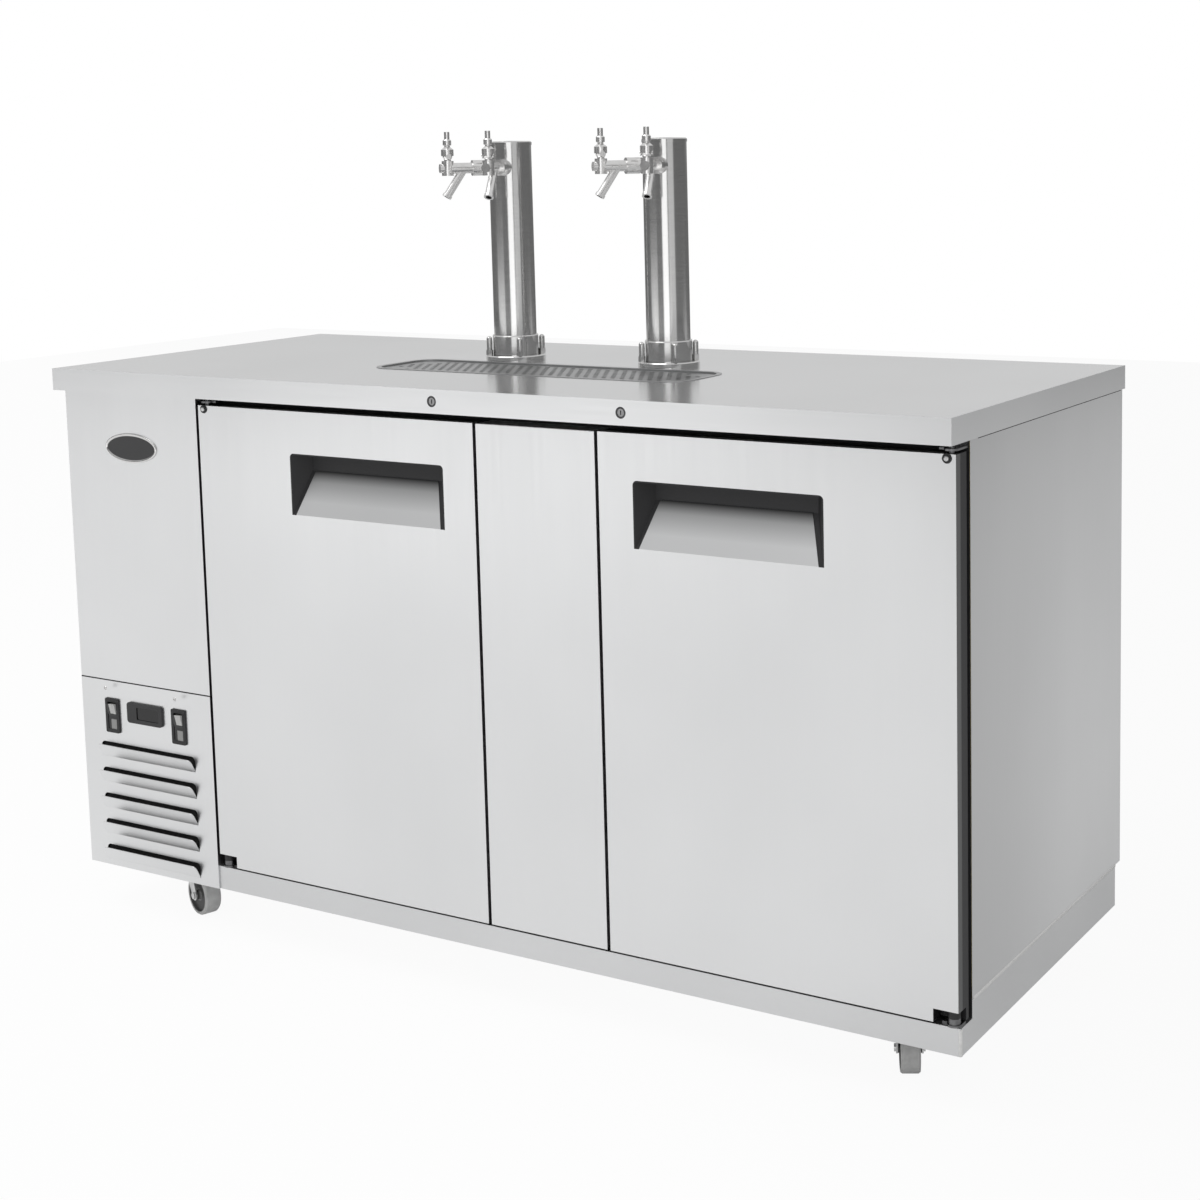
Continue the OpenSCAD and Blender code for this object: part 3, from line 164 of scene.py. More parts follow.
zinc = mottled("zinc_plate", (0.50, 0.505, 0.51), (0.74, 0.74, 0.735), 0.22, 0.42, 60, 5, 1.0)
dark_zinc = mottled("black_zinc", (0.13, 0.13, 0.135), (0.26, 0.26, 0.265), 0.25, 0.45, 70, 5, 1.0)
dress(dark_zinc, "caster_plates")
dress(zinc, "caster_fork_1", "caster_fork_2", "caster_fork_3", "caster_fork_4")
for name in ("caster_wheel_1", "caster_wheel_2", "caster_wheel_3", "caster_wheel_4"):
    low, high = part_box(name)
    rubber = mottled(name + "_rubber", (0.46, 0.46, 0.455), (0.60, 0.60, 0.595), 0.40, 0.60, 90, 6,
                     relief=0.2)
    tree = rubber.node_tree
    place = tree.nodes.new("ShaderNodeTexCoord")
    centred = tree.nodes.new("ShaderNodeVectorMath")
    centred.operation = "DISTANCE"
    centred.inputs[1].default_value = (low + high) / 2
    radius = tree.nodes.new("ShaderNodeMapRange")
    radius.inputs["From Max"].default_value = (high.z - low.z) / 2
    tree.links.new(place.outputs["Object"], centred.inputs[0])
    tree.links.new(centred.outputs["Value"], radius.inputs["Value"])
    # Painted highlight: the tread band is pale against the dark flanks.
    paint_light_and_shade(rubber, radius.outputs["Result"], (0.40, 0.42), (0.46, 0.10), (0.90, 0.10), (0.965, 1.0))
    dress(rubber, name)

# Painted highlights on the base: a pale bead along the top of each side band, and one down the plinth's
# right front corner, standing in for bright fold edges. Each stands slightly proud and round.
low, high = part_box("base_frame")
side_low, side_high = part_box("right_side_panel")
bead_radius = 0.0032
bead_sunk = 0.0014
corner_radius = 0.0030
corner_sunk = 0.0013
corner_length = 0.040


def make_piece(bm, name, *finishes):
    mesh = bpy.data.meshes.new(name)
    bm.to_mesh(mesh)
    bm.free()
    for finish in finishes:
        mesh.materials.append(finish)
    piece = bpy.data.objects.new(name, mesh)
    bpy.context.scene.collection.objects.link(piece)
    return piece


# Painted highlights: the pale beads stand in for the bright fold edges of the base.
highlight_pale = mottled("painted_highlight_pale", (0.74, 0.74, 0.73), (0.84, 0.84, 0.83), 0.35, 0.5, 200, 3, relief=0.1)
bm = bmesh.new()
for x in (low.x + bead_sunk, high.x - bead_sunk):
    bead = bmesh.ops.create_cone(bm, cap_ends=True, segments=16, radius1=bead_radius, radius2=bead_radius,
                                 depth=high.y - side_low.y - 0.004)["verts"]
    bmesh.ops.rotate(bm, verts=bead, matrix=Matrix.Rotation(math.pi / 2, 3, "X"))
    bmesh.ops.translate(bm, verts=bead, vec=(x, (side_low.y + high.y) / 2, side_low.z))
bead = bmesh.ops.create_cone(bm, cap_ends=True, segments=16, radius1=corner_radius, radius2=corner_radius,
                             depth=corner_length)["verts"]
bmesh.ops.translate(bm, verts=bead, vec=(high.x - corner_sunk, low.y + corner_sunk,
                                         low.z + corner_length / 2 + 0.001))
bead_ends = [e for e in bm.edges if any(len(f.verts) > 4 for f in e.link_faces)]
bmesh.ops.bevel(bm, geom=bead_ends, offset=0.0007, affect="EDGES", segments=2, profile=0.5, material=-1)
for face in bm.faces:
    face.smooth = len(face.verts) == 4
highlight_beads = make_piece(bm, "base_highlight_beads", highlight_pale)
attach(highlight_beads, "cabinet")

# The outer sheets: 1.2 mm stainless steel with a fine vertical grain from the rolling mill. They are
# bent on a press brake, so each outer edge has a small even radius, and screwed on from behind. The
# side sheets carry a painted shade, a little darker towards the front.
sheet_dark = (0.735, 0.74, 0.745)
sheet_light = (0.785, 0.79, 0.795)
upright_grain = (520, 520, 5)


def own_axes(tree):
    place = tree.nodes.new("ShaderNodeTexCoord")
    split = tree.nodes.new("ShaderNodeSeparateXYZ")
    tree.links.new(place.outputs["Object"], split.inputs["Vector"])
    return split.outputs


steel = rolled_sheet("stainless_vertical", upright_grain, sheet_dark, sheet_light, 0.28, 0.38)
dress(steel, "back_panel", "centre_post", "post_cover", "upper_front_panel", "louvre_panel")
side_steel = rolled_sheet("stainless_sides", upright_grain, sheet_dark, sheet_light, 0.28, 0.38)
tree = side_steel.node_tree
painted_front_shade = tree.nodes.new("ShaderNodeMapRange")
painted_front_shade.inputs["From Min"].default_value = side_low.y
painted_front_shade.inputs["From Max"].default_value = side_high.y
tree.links.new(own_axes(tree)["Y"], painted_front_shade.inputs["Value"])
# Painted shade: the side sheets darken towards the front.
paint_light_and_shade(side_steel, painted_front_shade.outputs["Result"], (0.0, 0.84), (0.60, 1.0))
dress(side_steel, "left_side_panel", "right_side_panel")
for name, radius in {"left_side_panel": 0.0006, "right_side_panel": 0.0006, "centre_post": 0.002,
                     "post_cover": 0.0011, "upper_front_panel": 0.0011, "louvre_panel": 0.0005}.items():
    fold_edges(name, radius)

# Two small pan-head screws hold the louvre panel along its upper edge, so that it comes off for
# cleaning the condenser. They are turned from stainless wire, with a round driving socket.
low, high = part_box("louvre_panel")
middle = (low.x + high.x) / 2
screw_spread = 0.087
screw_drop = 0.011
plate = mottled("polished_plate", (0.60, 0.595, 0.59), (0.70, 0.695, 0.69), 0.09, 0.18, 1.0, 4, 1.0,
                (40, 40, 900))
bm = bmesh.new()
for side in (-1, 1):
    head = bmesh.ops.create_cone(bm, cap_ends=True, segments=24, radius1=0.0036, radius2=0.0027,
                                 depth=0.0016)["verts"]
    bmesh.ops.rotate(bm, verts=head, matrix=Matrix.Rotation(math.pi / 2, 3, "X"))
    bmesh.ops.translate(bm, verts=head,
                        vec=(middle + side * screw_spread, low.y - 0.0007, high.z - screw_drop))
fronts = [f for f in bm.faces if len(f.verts) > 4 and f.normal.y < -0.9]
bmesh.ops.inset_individual(bm, faces=fronts, thickness=0.0012)
bmesh.ops.inset_individual(bm, faces=fronts, thickness=0.0002, depth=-0.0009)
screws = make_piece(bm, "panel_screws", plate)
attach(screws, "cabinet")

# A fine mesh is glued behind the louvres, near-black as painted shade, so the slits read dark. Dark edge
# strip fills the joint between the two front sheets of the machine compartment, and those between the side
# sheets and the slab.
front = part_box("upper_front_panel")[0].y
mesh_low = low.z + 0.002
mesh_high = 0.333
slab_x = side_high.x - 0.0001
slab_z = side_high.z - 0.0008
slab_strip = (0.0020, 0.600, 0.0016)
# Near-black: painted shade behind the louvres, and the dark joints.
shade_and_joint_black = mottled("painted_shade_and_joint_black", (0.004, 0.004, 0.004), (0.012, 0.012, 0.012), 0.80, 0.95, 1500, 2,
                     relief=0.6)
for name, centre, size in (
    ("louvre_mesh", (middle, front + 0.0045, (mesh_low + mesh_high) / 2),
     (0.286, 0.0006, mesh_high - mesh_low)),
    ("panel_strip", (middle, front + 0.0018, high.z + 0.0004), (high.x - low.x - 0.001, 0.004, 0.0024)),
    ("left_slab_strip", (-slab_x, 0.040, slab_z), slab_strip),
    ("right_slab_strip", (slab_x, 0.040, slab_z), slab_strip),
):
    bm = bmesh.new()
    bmesh.ops.create_cube(bm, size=1.0)
    bmesh.ops.scale(bm, verts=bm.verts, vec=size)
    bmesh.ops.translate(bm, verts=bm.verts, vec=centre)
    bmesh.ops.bevel(bm, geom=bm.edges[:], offset=0.0002, affect="EDGES", segments=2, profile=0.5,
                    material=-1)
    piece = make_piece(bm, name, shade_and_joint_black)
    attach(piece, "cabinet")

# The front frame that the seals close on: a black moulded breaker strip between the cold liner and
# the warm outer sheets. Its spark-eroded texture is the same on all the black mouldings.
black = mottled("black_moulding", (0.010, 0.010, 0.011), (0.020, 0.020, 0.022), 0.42, 0.62, 900, 3,
                relief=0.15)
dress(black, "face_frame")

# The keg compartment: a coved liner of bright annealed sheet without a grain, set in rigid foam that
# is poured between it and the outer sheets.
inner_steel = mottled("stainless_inside", (0.60, 0.605, 0.61), (0.70, 0.705, 0.71), 0.26, 0.42, 14, 4, 1.0)
dress(inner_steel, "inner_liner", "left_door_liner", "right_door_liner")
foam = bpy.data.materials.new("rigid_foam")
foam.use_nodes = True
tree = foam.node_tree
shader = tree.nodes["Principled BSDF"]
shader.inputs["Roughness"].default_value = 0.95
place = tree.nodes.new("ShaderNodeTexCoord")
cells = tree.nodes.new("ShaderNodeTexVoronoi")
cells.inputs["Scale"].default_value = 420.0
tone = tree.nodes.new("ShaderNodeValToRGB")
tone.color_ramp.elements[0].color = (0.58, 0.47, 0.24, 1)
tone.color_ramp.elements[1].color = (0.78, 0.68, 0.42, 1)
relief = tree.nodes.new("ShaderNodeBump")
relief.inputs["Strength"].default_value = 0.4
relief.inputs["Distance"].default_value = 0.001
tree.links.new(place.outputs["Object"], cells.inputs["Vector"])
tree.links.new(cells.outputs["Distance"], tone.inputs["Fac"])
tree.links.new(tone.outputs["Color"], shader.inputs["Base Color"])
tree.links.new(cells.outputs["Distance"], relief.inputs["Height"])
tree.links.new(relief.outputs["Normal"], shader.inputs["Normal"])
dress(foam, "insulation")

# The cooling unit: a compressor dipped in black enamel, coils of aluminium fins on tube, moulded fans
# and shroud, and a white moulded cover over the cold coil inside.
enamel = mottled("black_enamel", (0.010, 0.010, 0.011), (0.018, 0.018, 0.020), 0.16, 0.28, 40, 3)
fins = bpy.data.materials.new("aluminium_fins")
fins.use_nodes = True
tree = fins.node_tree
shader = tree.nodes["Principled BSDF"]
shader.inputs["Metallic"].default_value = 1.0
shader.inputs["Roughness"].default_value = 0.34
place = tree.nodes.new("ShaderNodeTexCoord")
leaves = tree.nodes.new("ShaderNodeTexWave")
leaves.bands_direction = "X"
leaves.inputs["Scale"].default_value = 160.0
# Painted shade: the dark bands between the light ones stand for the shade in the gaps between fins.
tone = tree.nodes.new("ShaderNodeValToRGB")
tone.color_ramp.elements[0].color = (0.16, 0.16, 0.165, 1)
tone.color_ramp.elements[1].position = 0.5
tone.color_ramp.elements[1].color = (0.74, 0.745, 0.75, 1)
relief = tree.nodes.new("ShaderNodeBump")
relief.inputs["Strength"].default_value = 0.5
relief.inputs["Distance"].default_value = 0.0006
tree.links.new(place.outputs["Object"], leaves.inputs["Vector"])
tree.links.new(leaves.outputs["Fac"], tone.inputs["Fac"])
tree.links.new(tone.outputs["Color"], shader.inputs["Base Color"])
tree.links.new(leaves.outputs["Fac"], relief.inputs["Height"])
tree.links.new(relief.outputs["Normal"], shader.inputs["Normal"])
white = mottled("white_moulding", (0.70, 0.70, 0.68), (0.80, 0.80, 0.78), 0.25, 0.38, 30)
dress(enamel, "compressor")
dress(fins, "condenser_coil", "evaporator_coil")
dress(black, "condenser_shroud", "condenser_fan", "evaporator_fan")
dress(white, "evaporator_cover")

# The doors: a steel skin with the handle slope bent in, on a foamed core that shows as the black edge
# frame. The rim on the hinge side is darkened as painted shade, and the skin has painted shade that
# darkens it with depth, on the slope deep in the recess and on the rims. The recess is a black moulding,
# and the seal is soft black vinyl.
low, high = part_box("left_door_skin")
hinge_middle = (low.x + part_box("right_door_skin")[1].x) / 2


def work_out(tree, operation, *terms):
    step = tree.nodes.new("ShaderNodeMath")
    step.operation = operation
    for socket, term in zip(step.inputs, terms):
        if isinstance(term, (int, float)):
            socket.default_value = term
        else:
            tree.links.new(term, socket)
    return step.outputs["Value"]


skin_steel = rolled_sheet("stainless_door", upright_grain, sheet_dark, sheet_light, 0.28, 0.38)
tree = skin_steel.node_tree
axes = own_axes(tree)
# Painted shade: the skin darkens with depth, deep in the handle recess and on the rims.
painted_recess_shade = tree.nodes.new("ShaderNodeMapRange")
painted_recess_shade.inputs["From Min"].default_value = low.y
painted_recess_shade.inputs["From Max"].default_value = high.y
tree.links.new(axes["Y"], painted_recess_shade.inputs["Value"])
paint_light_and_shade(skin_steel, painted_recess_shade.outputs["Result"], (0.30, 1.0), (0.72, 0.58), (0.96, 0.05))
# Painted shade: the rim on the hinge side is darkened.
outward = work_out(tree, "ABSOLUTE", work_out(tree, "SUBTRACT", axes["X"], hinge_middle))
painted_rim_shade = work_out(tree, "COMPARE", outward, hinge_middle - low.x, 0.0006)
paint_light_and_shade(skin_steel, painted_rim_shade, (0.0, 1.0), (1.0, 0.16))
dress(skin_steel, "left_door_skin", "right_door_skin")
fold_edges("left_door_skin", 0.0011)
fold_edges("right_door_skin", 0.0011)
dress(black, "left_door_core", "right_door_core", "left_handle_recess", "right_handle_recess")
vinyl = mottled("seal_vinyl", (0.030, 0.030, 0.032), (0.055, 0.055, 0.058), 0.45, 0.70, 160)
dress(vinyl, "left_door_seal", "right_door_seal")

# Hinge brackets above and below each door: pressed steel leaves with a welded pin, black-passivated.
# A round-headed bolt on a black washer, at the upper outer corner of each door, holds its hinge bush.
dress(dark_zinc, "hinge_brackets")
for door, inset in (("left_door", 0.014), ("right_door", -0.014)):
    low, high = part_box(door + "_skin")
    edge_x = low.x if inset > 0 else high.x
    bm = bmesh.new()
    washer = bmesh.ops.create_cone(bm, cap_ends=True, segments=32, radius1=0.0076, radius2=0.0070,
                                   depth=0.0016)["verts"]
    bmesh.ops.translate(bm, verts=washer, vec=(0, 0, 0.0006))
    head = bmesh.ops.create_cone(bm, cap_ends=True, segments=24, radius1=0.0044, radius2=0.0034,
                                 depth=0.0034)["verts"]
    bmesh.ops.translate(bm, verts=head, vec=(0, 0, 0.0027))
    crown = max((f for f in bm.faces if len(f.verts) > 4), key=lambda f: f.calc_center_median().z)
    bmesh.ops.bevel(bm, geom=crown.edges[:], offset=0.0012, affect="EDGES", segments=3, profile=0.5,
                    material=-1)
    for face in bm.faces:
        face.smooth = len(face.verts) == 4
        face.material_index = int(face.calc_center_median().z > 0.0016)
    bmesh.ops.rotate(bm, verts=bm.verts, matrix=Matrix.Rotation(math.pi / 2, 3, "X"))
    bmesh.ops.translate(bm, verts=bm.verts, vec=(edge_x + inset, low.y, high.z - 0.006))
    bolt = make_piece(bm, door + "_bolt", black, zinc)
    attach(bolt, door)

# The worktop, a foamed slab in a skin of the same sheet with the grain along the counter. It is
# rubbed smoother than the doors by wiping, so the columns stand mirrored in it; its edges are duller.
low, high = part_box("worktop")
top_steel = rolled_sheet("stainless_lengthwise", (5, 520, 520), sheet_dark, sheet_light, 0.16, 0.25)
tree = top_steel.node_tree
shader = tree.nodes["Principled BSDF"]
wiped = shader.inputs["Roughness"].links[0].from_socket
axes = own_axes(tree)
ends = tree.nodes.new("ShaderNodeMapRange")
ends.inputs["From Min"].default_value = high.x - 0.0016
ends.inputs["From Max"].default_value = high.x - 0.0004
ends.inputs["To Max"].default_value = 0.13
lip = tree.nodes.new("ShaderNodeMapRange")
lip.inputs["From Min"].default_value = low.y + 0.0016
lip.inputs["From Max"].default_value = low.y + 0.0004
lip.inputs["To Max"].default_value = 0.12
tree.links.new(work_out(tree, "ABSOLUTE", axes["X"]), ends.inputs["Value"])
tree.links.new(axes["Y"], lip.inputs["Value"])
edges = work_out(tree, "MAXIMUM", ends.outputs["Result"], lip.outputs["Result"])
tree.links.new(work_out(tree, "ADD", wiped, edges), shader.inputs["Roughness"])
dress(top_steel, "worktop")

# Two key locks in the slab's front edge. Turned barrels, near-black, sit in bores of the slab, and
# the dull plated plugs turn in them with their cams.
# Near-black barrels round the paler plugs.
dark_barrel = mottled("dark_barrel_steel", (0.045, 0.045, 0.047), (0.10, 0.10, 0.103), 0.25, 0.40, 300, 3, 1.0)
dress(dark_barrel, "lock_barrels")
dull_plate = mottled("dull_plate", (0.26, 0.26, 0.263), (0.40, 0.40, 0.403), 0.28, 0.42, 300, 3, 1.0)
dress(dull_plate, "left_lock_plug", "right_lock_plug")

# The drip tray is pressed from thin sheet and drops into the cut-out of the worktop. Its perforated
# grid lifts out for washing. Both are darker and duller than the worktop.
tray_steel = mottled("tray_steel", (0.38, 0.383, 0.386), (0.52, 0.523, 0.526), 0.30, 0.46, 14, 4, 1.0)
dress(tray_steel, "drip_tray")
grid_steel = mottled("grid_steel", (0.30, 0.303, 0.306), (0.46, 0.463, 0.466), 0.30, 0.44, 60, 4, 1.0)
dress(grid_steel, "drip_grid")

# The towers and taps: drawn tube, cast flanges and turned brass, all polished and plated. The columns
# keep faint polishing lines round them.
tube = mottled("polished_tube", (0.64, 0.638, 0.635), (0.72, 0.717, 0.713), 0.12, 0.19, 1.0, 4, 1.0,
               (40, 40, 900))
satin = mottled("satin_chrome", (0.76, 0.755, 0.75), (0.84, 0.835, 0.83), 0.18, 0.28, 120, 4, 1.0)
dress(tube, "tower_flanges", "flange_nuts", "tower_columns", "tower_caps", "beer_tubes")
dress(satin, "tap_shanks", "coupling_nuts", "tap_bodies")
dress(satin, "tap_lever_1", "tap_lever_2", "tap_lever_3", "tap_lever_4")

# The temperature controller: a grey moulded bezel clipped into the louvre panel, with a sunk window of
# smoked plastic. The window is marked off on the piece's own coordinates.
low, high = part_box("temperature_controller")
centre = (low + high) / 2
size = high - low
smoked = bpy.data.materials.new("controller_plastic")
smoked.use_nodes = True
tree = smoked.node_tree
shader = tree.nodes["Principled BSDF"]
axes = own_axes(tree)
across = work_out(tree, "COMPARE", axes["X"], centre.x + 0.09 * size.x, 0.315 * size.x)
upright = work_out(tree, "COMPARE", axes["Z"], centre.z, 0.305 * size.z)
window = work_out(tree, "MULTIPLY", across, upright)
place = tree.nodes.new("ShaderNodeTexCoord")
grain = tree.nodes.new("ShaderNodeTexNoise")
grain.inputs["Scale"].default_value = 700.0
bezel = tree.nodes.new("ShaderNodeValToRGB")
bezel.color_ramp.elements[0].color = (0.016, 0.016, 0.017, 1)
bezel.color_ramp.elements[1].color = (0.026, 0.026, 0.028, 1)
tone = tree.nodes.new("ShaderNodeMix")
tone.data_type = "RGBA"
tone.inputs["B"].default_value = (0.003, 0.003, 0.0035, 1)
gloss = tree.nodes.new("ShaderNodeMapRange")
gloss.inputs["To Min"].default_value = 0.45
gloss.inputs["To Max"].default_value = 0.10
tree.links.new(place.outputs["Object"], grain.inputs["Vector"])
tree.links.new(grain.outputs["Fac"], bezel.inputs["Fac"])
tree.links.new(window, tone.inputs["Factor"])
tree.links.new(bezel.outputs["Color"], tone.inputs["A"])
tree.links.new(window, gloss.inputs["Value"])
tree.links.new(tone.outputs["Result"], shader.inputs["Base Color"])
tree.links.new(gloss.outputs["Result"], shader.inputs["Roughness"])
dress(smoked, "temperature_controller")
dress(black, "switch_bezels")

# Rocker switches that snap into the bezels, with painted light and shade: the two flats are pale grey on
# the right half, the upper one painted lighter than the lower, with a painted shadow as a black band where
# they meet over the pivot and a painted shaded side as a black strip on the left.
for name in ("left_rocker", "right_rocker"):
    low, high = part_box(name)
    rocker = bpy.data.materials.new(name + "_plastic")
    rocker.use_nodes = True
    tree = rocker.node_tree
    shader = tree.nodes["Principled BSDF"]
    shader.inputs["Roughness"].default_value = 0.3
    axes = own_axes(tree)
    span = tree.nodes.new("ShaderNodeMapRange")
    span.inputs["From Min"].default_value = low.z
    span.inputs["From Max"].default_value = high.z
    # Painted light and shade up the rocker: lower flat grey, a painted shadow band black, upper flat
    # lighter.
    painted_rocker_light = tree.nodes.new("ShaderNodeValToRGB")
    painted_rocker_light.color_ramp.interpolation = "CONSTANT"
    painted_rocker_light.color_ramp.elements[0].color = (0.30, 0.30, 0.295, 1)
    painted_rocker_light.color_ramp.elements[1].position = 0.38
    painted_rocker_light.color_ramp.elements[1].color = (0.012, 0.012, 0.013, 1)
    painted_rocker_light.color_ramp.elements.new(0.60).color = (0.55, 0.55, 0.54, 1)
    # Painted shade: the strip on the left stays black for the rocker's shaded side.
    clear_of_painted_side_shade = work_out(tree, "GREATER_THAN", axes["X"], low.x + 0.34 * (high.x - low.x))
    tone = tree.nodes.new("ShaderNodeMix")
    tone.data_type = "RGBA"
    tone.inputs["A"].default_value = (0.016, 0.016, 0.017, 1)
    tree.links.new(axes["Z"], span.inputs["Value"])
    tree.links.new(span.outputs["Result"], painted_rocker_light.inputs["Fac"])
    tree.links.new(clear_of_painted_side_shade, tone.inputs["Factor"])
    tree.links.new(painted_rocker_light.outputs["Color"], tone.inputs["B"])
    tree.links.new(tone.outputs["Result"], shader.inputs["Base Color"])
    dress(rocker, name)

# The badge place on the upper panel: a blank oval plate, stamped from thin sheet, with a raised
# bright rim round a plain dark field. It is held by a film of adhesive.
low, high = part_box("upper_front_panel")
badge_wide = 0.063
badge_tall = 0.0265
badge_z = 0.871
badge_thick = 0.0022
bm = bmesh.new()
bmesh.ops.create_circle(bm, cap_ends=True, segments=64, radius=1.0)
bmesh.ops.scale(bm, verts=bm.verts, vec=(badge_wide, badge_tall, 1.0))
bmesh.ops.rotate(bm, verts=bm.verts, matrix=Matrix.Rotation(math.pi / 2, 3, "X"))
bmesh.ops.translate(bm, verts=bm.verts, vec=((low.x + high.x) / 2, low.y, badge_z))
raised = bmesh.ops.extrude_face_region(bm, geom=bm.faces[:])["geom"]
raised_verts = [v for v in raised if isinstance(v, bmesh.types.BMVert)]
bmesh.ops.translate(bm, verts=raised_verts, vec=(0, -badge_thick, 0))
front = [f for f in raised if isinstance(f, bmesh.types.BMFace)]
rim = front[0].edges[:]
bmesh.ops.inset_region(bm, faces=front, thickness=0.0036)
bmesh.ops.inset_region(bm, faces=front, thickness=0.0012, depth=-0.0010)
bmesh.ops.bevel(bm, geom=rim, offset=0.0012, affect="EDGES", segments=3, profile=0.5, material=-1)
bmesh.ops.recalc_face_normals(bm, faces=bm.faces)
for face in bm.faces:
    face.smooth = len(face.verts) == 4
    face.material_index = int(len(face.verts) > 4 and face.normal.y < -0.9)
badge = make_piece(bm, "badge_plate", plate, enamel)
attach(badge, "cabinet")

# Floor of the studio: one pale seamless sheet that runs out of sight. The camera sees it white, as in
# the photograph, and a part of its own shading stays so that the cabinet keeps its shadow. Behind on the
# right the sheet carries painted shade, greyer with a darker patch for the cabinet's shadow side, which
# keeps the end panel darker than the doors.
paper = bpy.data.materials.new("pale_paper")
paper.use_nodes = True
tree = paper.node_tree
shader = tree.nodes["Principled BSDF"]
shader.inputs["Roughness"].default_value = 0.95
shader.inputs["Specular IOR Level"].default_value = 0.0
place = tree.nodes.new("ShaderNodeTexCoord")
depth = tree.nodes.new("ShaderNodeVectorMath")
depth.operation = "DOT_PRODUCT"
depth.inputs[1].default_value = (0.6, 0.8, 0.0)
span = tree.nodes.new("ShaderNodeMapRange")
span.inputs["From Min"].default_value = -6.0
span.inputs["From Max"].default_value = 2.2
# Painted shade: the sheet's colour greys off behind on the right.
painted_falloff = tree.nodes.new("ShaderNodeValToRGB")
painted_falloff.color_ramp.elements[0].position = 0.70
painted_falloff.color_ramp.elements[0].color = (0.90, 0.90, 0.90, 1)
painted_falloff.color_ramp.elements[1].position = 0.83
painted_falloff.color_ramp.elements[1].color = (0.52, 0.52, 0.52, 1)
# Painted shade in reflections: the white the metal sees falls off behind on the right, with a darker patch
# for the cabinet's shadow side.
mirrored_white_with_painted_shade = tree.nodes.new("ShaderNodeValToRGB")
mirrored_white_with_painted_shade.color_ramp.elements[0].color = (0.95, 0.95, 0.95, 1)
mirrored_white_with_painted_shade.color_ramp.elements[1].color = (0.42, 0.42, 0.42, 1)
mirrored_white_with_painted_shade.color_ramp.elements.new(0.68).color = (0.60, 0.60, 0.60, 1)
mirrored_white_with_painted_shade.color_ramp.elements.new(0.81).color = (0.36, 0.36, 0.36, 1)
tree.links.new(place.outputs["Object"], depth.inputs[0])
tree.links.new(depth.outputs["Value"], span.inputs["Value"])
tree.links.new(span.outputs["Result"], painted_falloff.inputs["Fac"])
tree.links.new(span.outputs["Result"], mirrored_white_with_painted_shade.inputs["Fac"])
tree.links.new(painted_falloff.outputs["Color"], shader.inputs["Base Color"])
glow = tree.nodes.new("ShaderNodeEmission")
path = tree.nodes.new("ShaderNodeLightPath")
seen = work_out(tree, "MULTIPLY", path.outputs["Is Camera Ray"], 0.94)
polished = work_out(tree, "MULTIPLY_ADD", path.outputs["Is Glossy Ray"], mirrored_white_with_painted_shade.outputs["Color"], seen)
blend = tree.nodes.new("ShaderNodeMixShader")
tree.links.new(work_out(tree, "MAXIMUM", polished, path.outputs["Is Transmission Ray"]), blend.inputs["Fac"])
tree.links.new(shader.outputs["BSDF"], blend.inputs[1])
tree.links.new(glow.outputs["Emission"], blend.inputs[2])
tree.links.new(blend.outputs["Shader"], tree.nodes["Material Output"].inputs["Surface"])
bm = bmesh.new()
bmesh.ops.create_grid(bm, x_segments=1, y_segments=1, size=9.5)
floor = make_piece(bm, "studio_floor", paper)

# Studio light: a room that is dim at eye level and pale overhead, with a white screen behind that
# starts at the horizon, so that bright round pieces show dark flanks. One box hangs over the floor in
# front on the left, and four stand in front, where the doors, slab and columns mirror them.
world = bpy.data.worlds.new("studio")
bpy.context.scene.world = world
world.use_nodes = True
tree = world.node_tree
sky = tree.nodes["Background"]
sky.inputs["Strength"].default_value = 1.0
aim = tree.nodes.new("ShaderNodeTexCoord")
rise = tree.nodes.new("ShaderNodeSeparateXYZ")
height = tree.nodes.new("ShaderNodeMapRange")
height.interpolation_type = "SMOOTHSTEP"
height.inputs["From Min"].default_value = 0.10
height.inputs["From Max"].default_value = 0.42
height.inputs["To Min"].default_value = 0.10
height.inputs["To Max"].default_value = 0.70
behind = tree.nodes.new("ShaderNodeVectorMath")
behind.operation = "DOT_PRODUCT"
behind.inputs[1].default_value = (-0.55, 0.83, 0.0)
screen = tree.nodes.new("ShaderNodeMapRange")
screen.interpolation_type = "SMOOTHSTEP"
screen.inputs["From Min"].default_value = 0.55
screen.inputs["From Max"].default_value = 0.90
skyline = tree.nodes.new("ShaderNodeMapRange")
skyline.interpolation_type = "SMOOTHSTEP"
skyline.inputs["From Min"].default_value = -0.02
skyline.inputs["From Max"].default_value = 0.06
room = tree.nodes.new("ShaderNodeMix")
room.data_type = "FLOAT"
room.inputs["B"].default_value = 0.66
path = tree.nodes.new("ShaderNodeLightPath")
white_room = tree.nodes.new("ShaderNodeMix")
white_room.data_type = "FLOAT"
white_room.inputs["B"].default_value = 1.0
tree.links.new(aim.outputs["Generated"], rise.inputs["Vector"])
tree.links.new(aim.outputs["Generated"], behind.inputs[0])
tree.links.new(rise.outputs["Z"], height.inputs["Value"])
tree.links.new(behind.outputs["Value"], screen.inputs["Value"])
tree.links.new(rise.outputs["Z"], skyline.inputs["Value"])
raised = work_out(tree, "MULTIPLY", screen.outputs["Result"], skyline.outputs["Result"])
tree.links.new(raised, room.inputs["Factor"])
tree.links.new(height.outputs["Result"], room.inputs["A"])
mirrored = work_out(tree, "MULTIPLY_ADD", path.outputs["Is Glossy Ray"], 0.08, path.outputs["Is Camera Ray"])
clear = work_out(tree, "MAXIMUM", mirrored, path.outputs["Is Transmission Ray"])
tree.links.new(clear, white_room.inputs["Factor"])
tree.links.new(room.outputs["Result"], white_room.inputs["A"])
tree.links.new(white_room.outputs["Result"], sky.inputs["Color"])
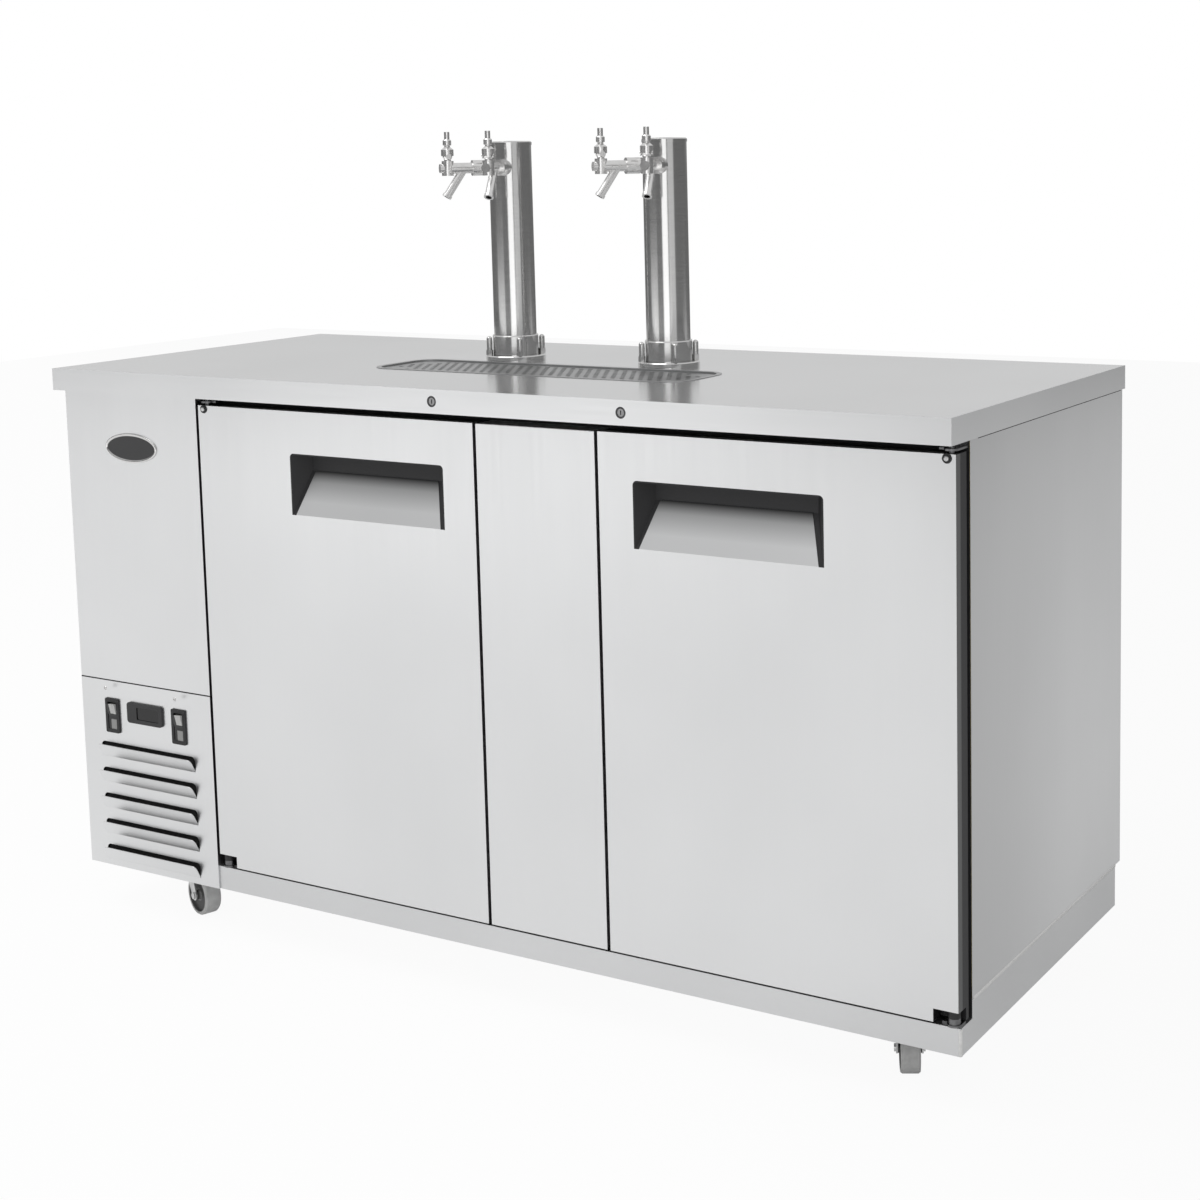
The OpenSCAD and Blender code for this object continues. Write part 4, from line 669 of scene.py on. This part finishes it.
for name, spot, toward, wide, tall, power in (
    ("floor_box", (-1.4, -1.9, 4.6), (-1.4, -1.8, 0.0), 3.0, 3.0, 55),
    ("low_box", (-3.9, -4.9, 0.42), (0.1, -0.3, 0.8), 5.0, 0.8, 5.4),
    ("centre_box", (-2.0, -3.75, 0.40), (0.25, -0.33, 0.9), 1.9, 0.55, 2.1),
    ("strip_box", (2.2, -4.1, 1.1), (0.0, 0.1, 1.2), 2.4, 1.5, 14),
    ("fill_box", (4.2, -2.2, 1.1), (0.0, 0.1, 1.2), 2.6, 1.5, 6),
):
    lamp = bpy.data.lights.new(name, "AREA")
    lamp.shape = "RECTANGLE"
    lamp.size = wide
    lamp.size_y = tall
    lamp.energy = power
    stand = bpy.data.objects.new(name, lamp)
    bpy.context.scene.collection.objects.link(stand)
    stand.location = spot
    stand.rotation_euler = (Vector(toward) - Vector(spot)).to_track_quat("-Z", "Y").to_euler()

# The camera stands to the right in front, about as high as the taps. Its lens, shift, place and turn
# come from fitting it to points of the photograph.
picture = 1200
focal_pixels = 1994.786
standpoint = (1.973930, -2.832266, 1.374993)
turn = math.radians(30.216)
tilt = math.radians(6.804)
roll = math.radians(-1.039)
eye = bpy.data.cameras.new("camera")
eye.sensor_fit = "HORIZONTAL"
eye.sensor_width = 36.0
eye.lens = focal_pixels / picture * eye.sensor_width
eye.shift_x = -130 / picture
eye.shift_y = -210 / picture
eye.clip_end = 200
back = Vector((math.sin(turn) * math.cos(tilt), -math.cos(turn) * math.cos(tilt), math.sin(tilt)))
level_right = Vector((math.cos(turn), math.sin(turn), 0))
level_up = back.cross(level_right)
right = math.cos(roll) * level_right + math.sin(roll) * level_up
up = math.cos(roll) * level_up - math.sin(roll) * level_right
camera = bpy.data.objects.new("camera", eye)
camera.matrix_world = Matrix.Translation(standpoint) @ Matrix((right, up, back)).transposed().to_4x4()
bpy.context.scene.collection.objects.link(camera)
bpy.context.scene.camera = camera
bpy.context.scene.view_settings.view_transform = "Standard"
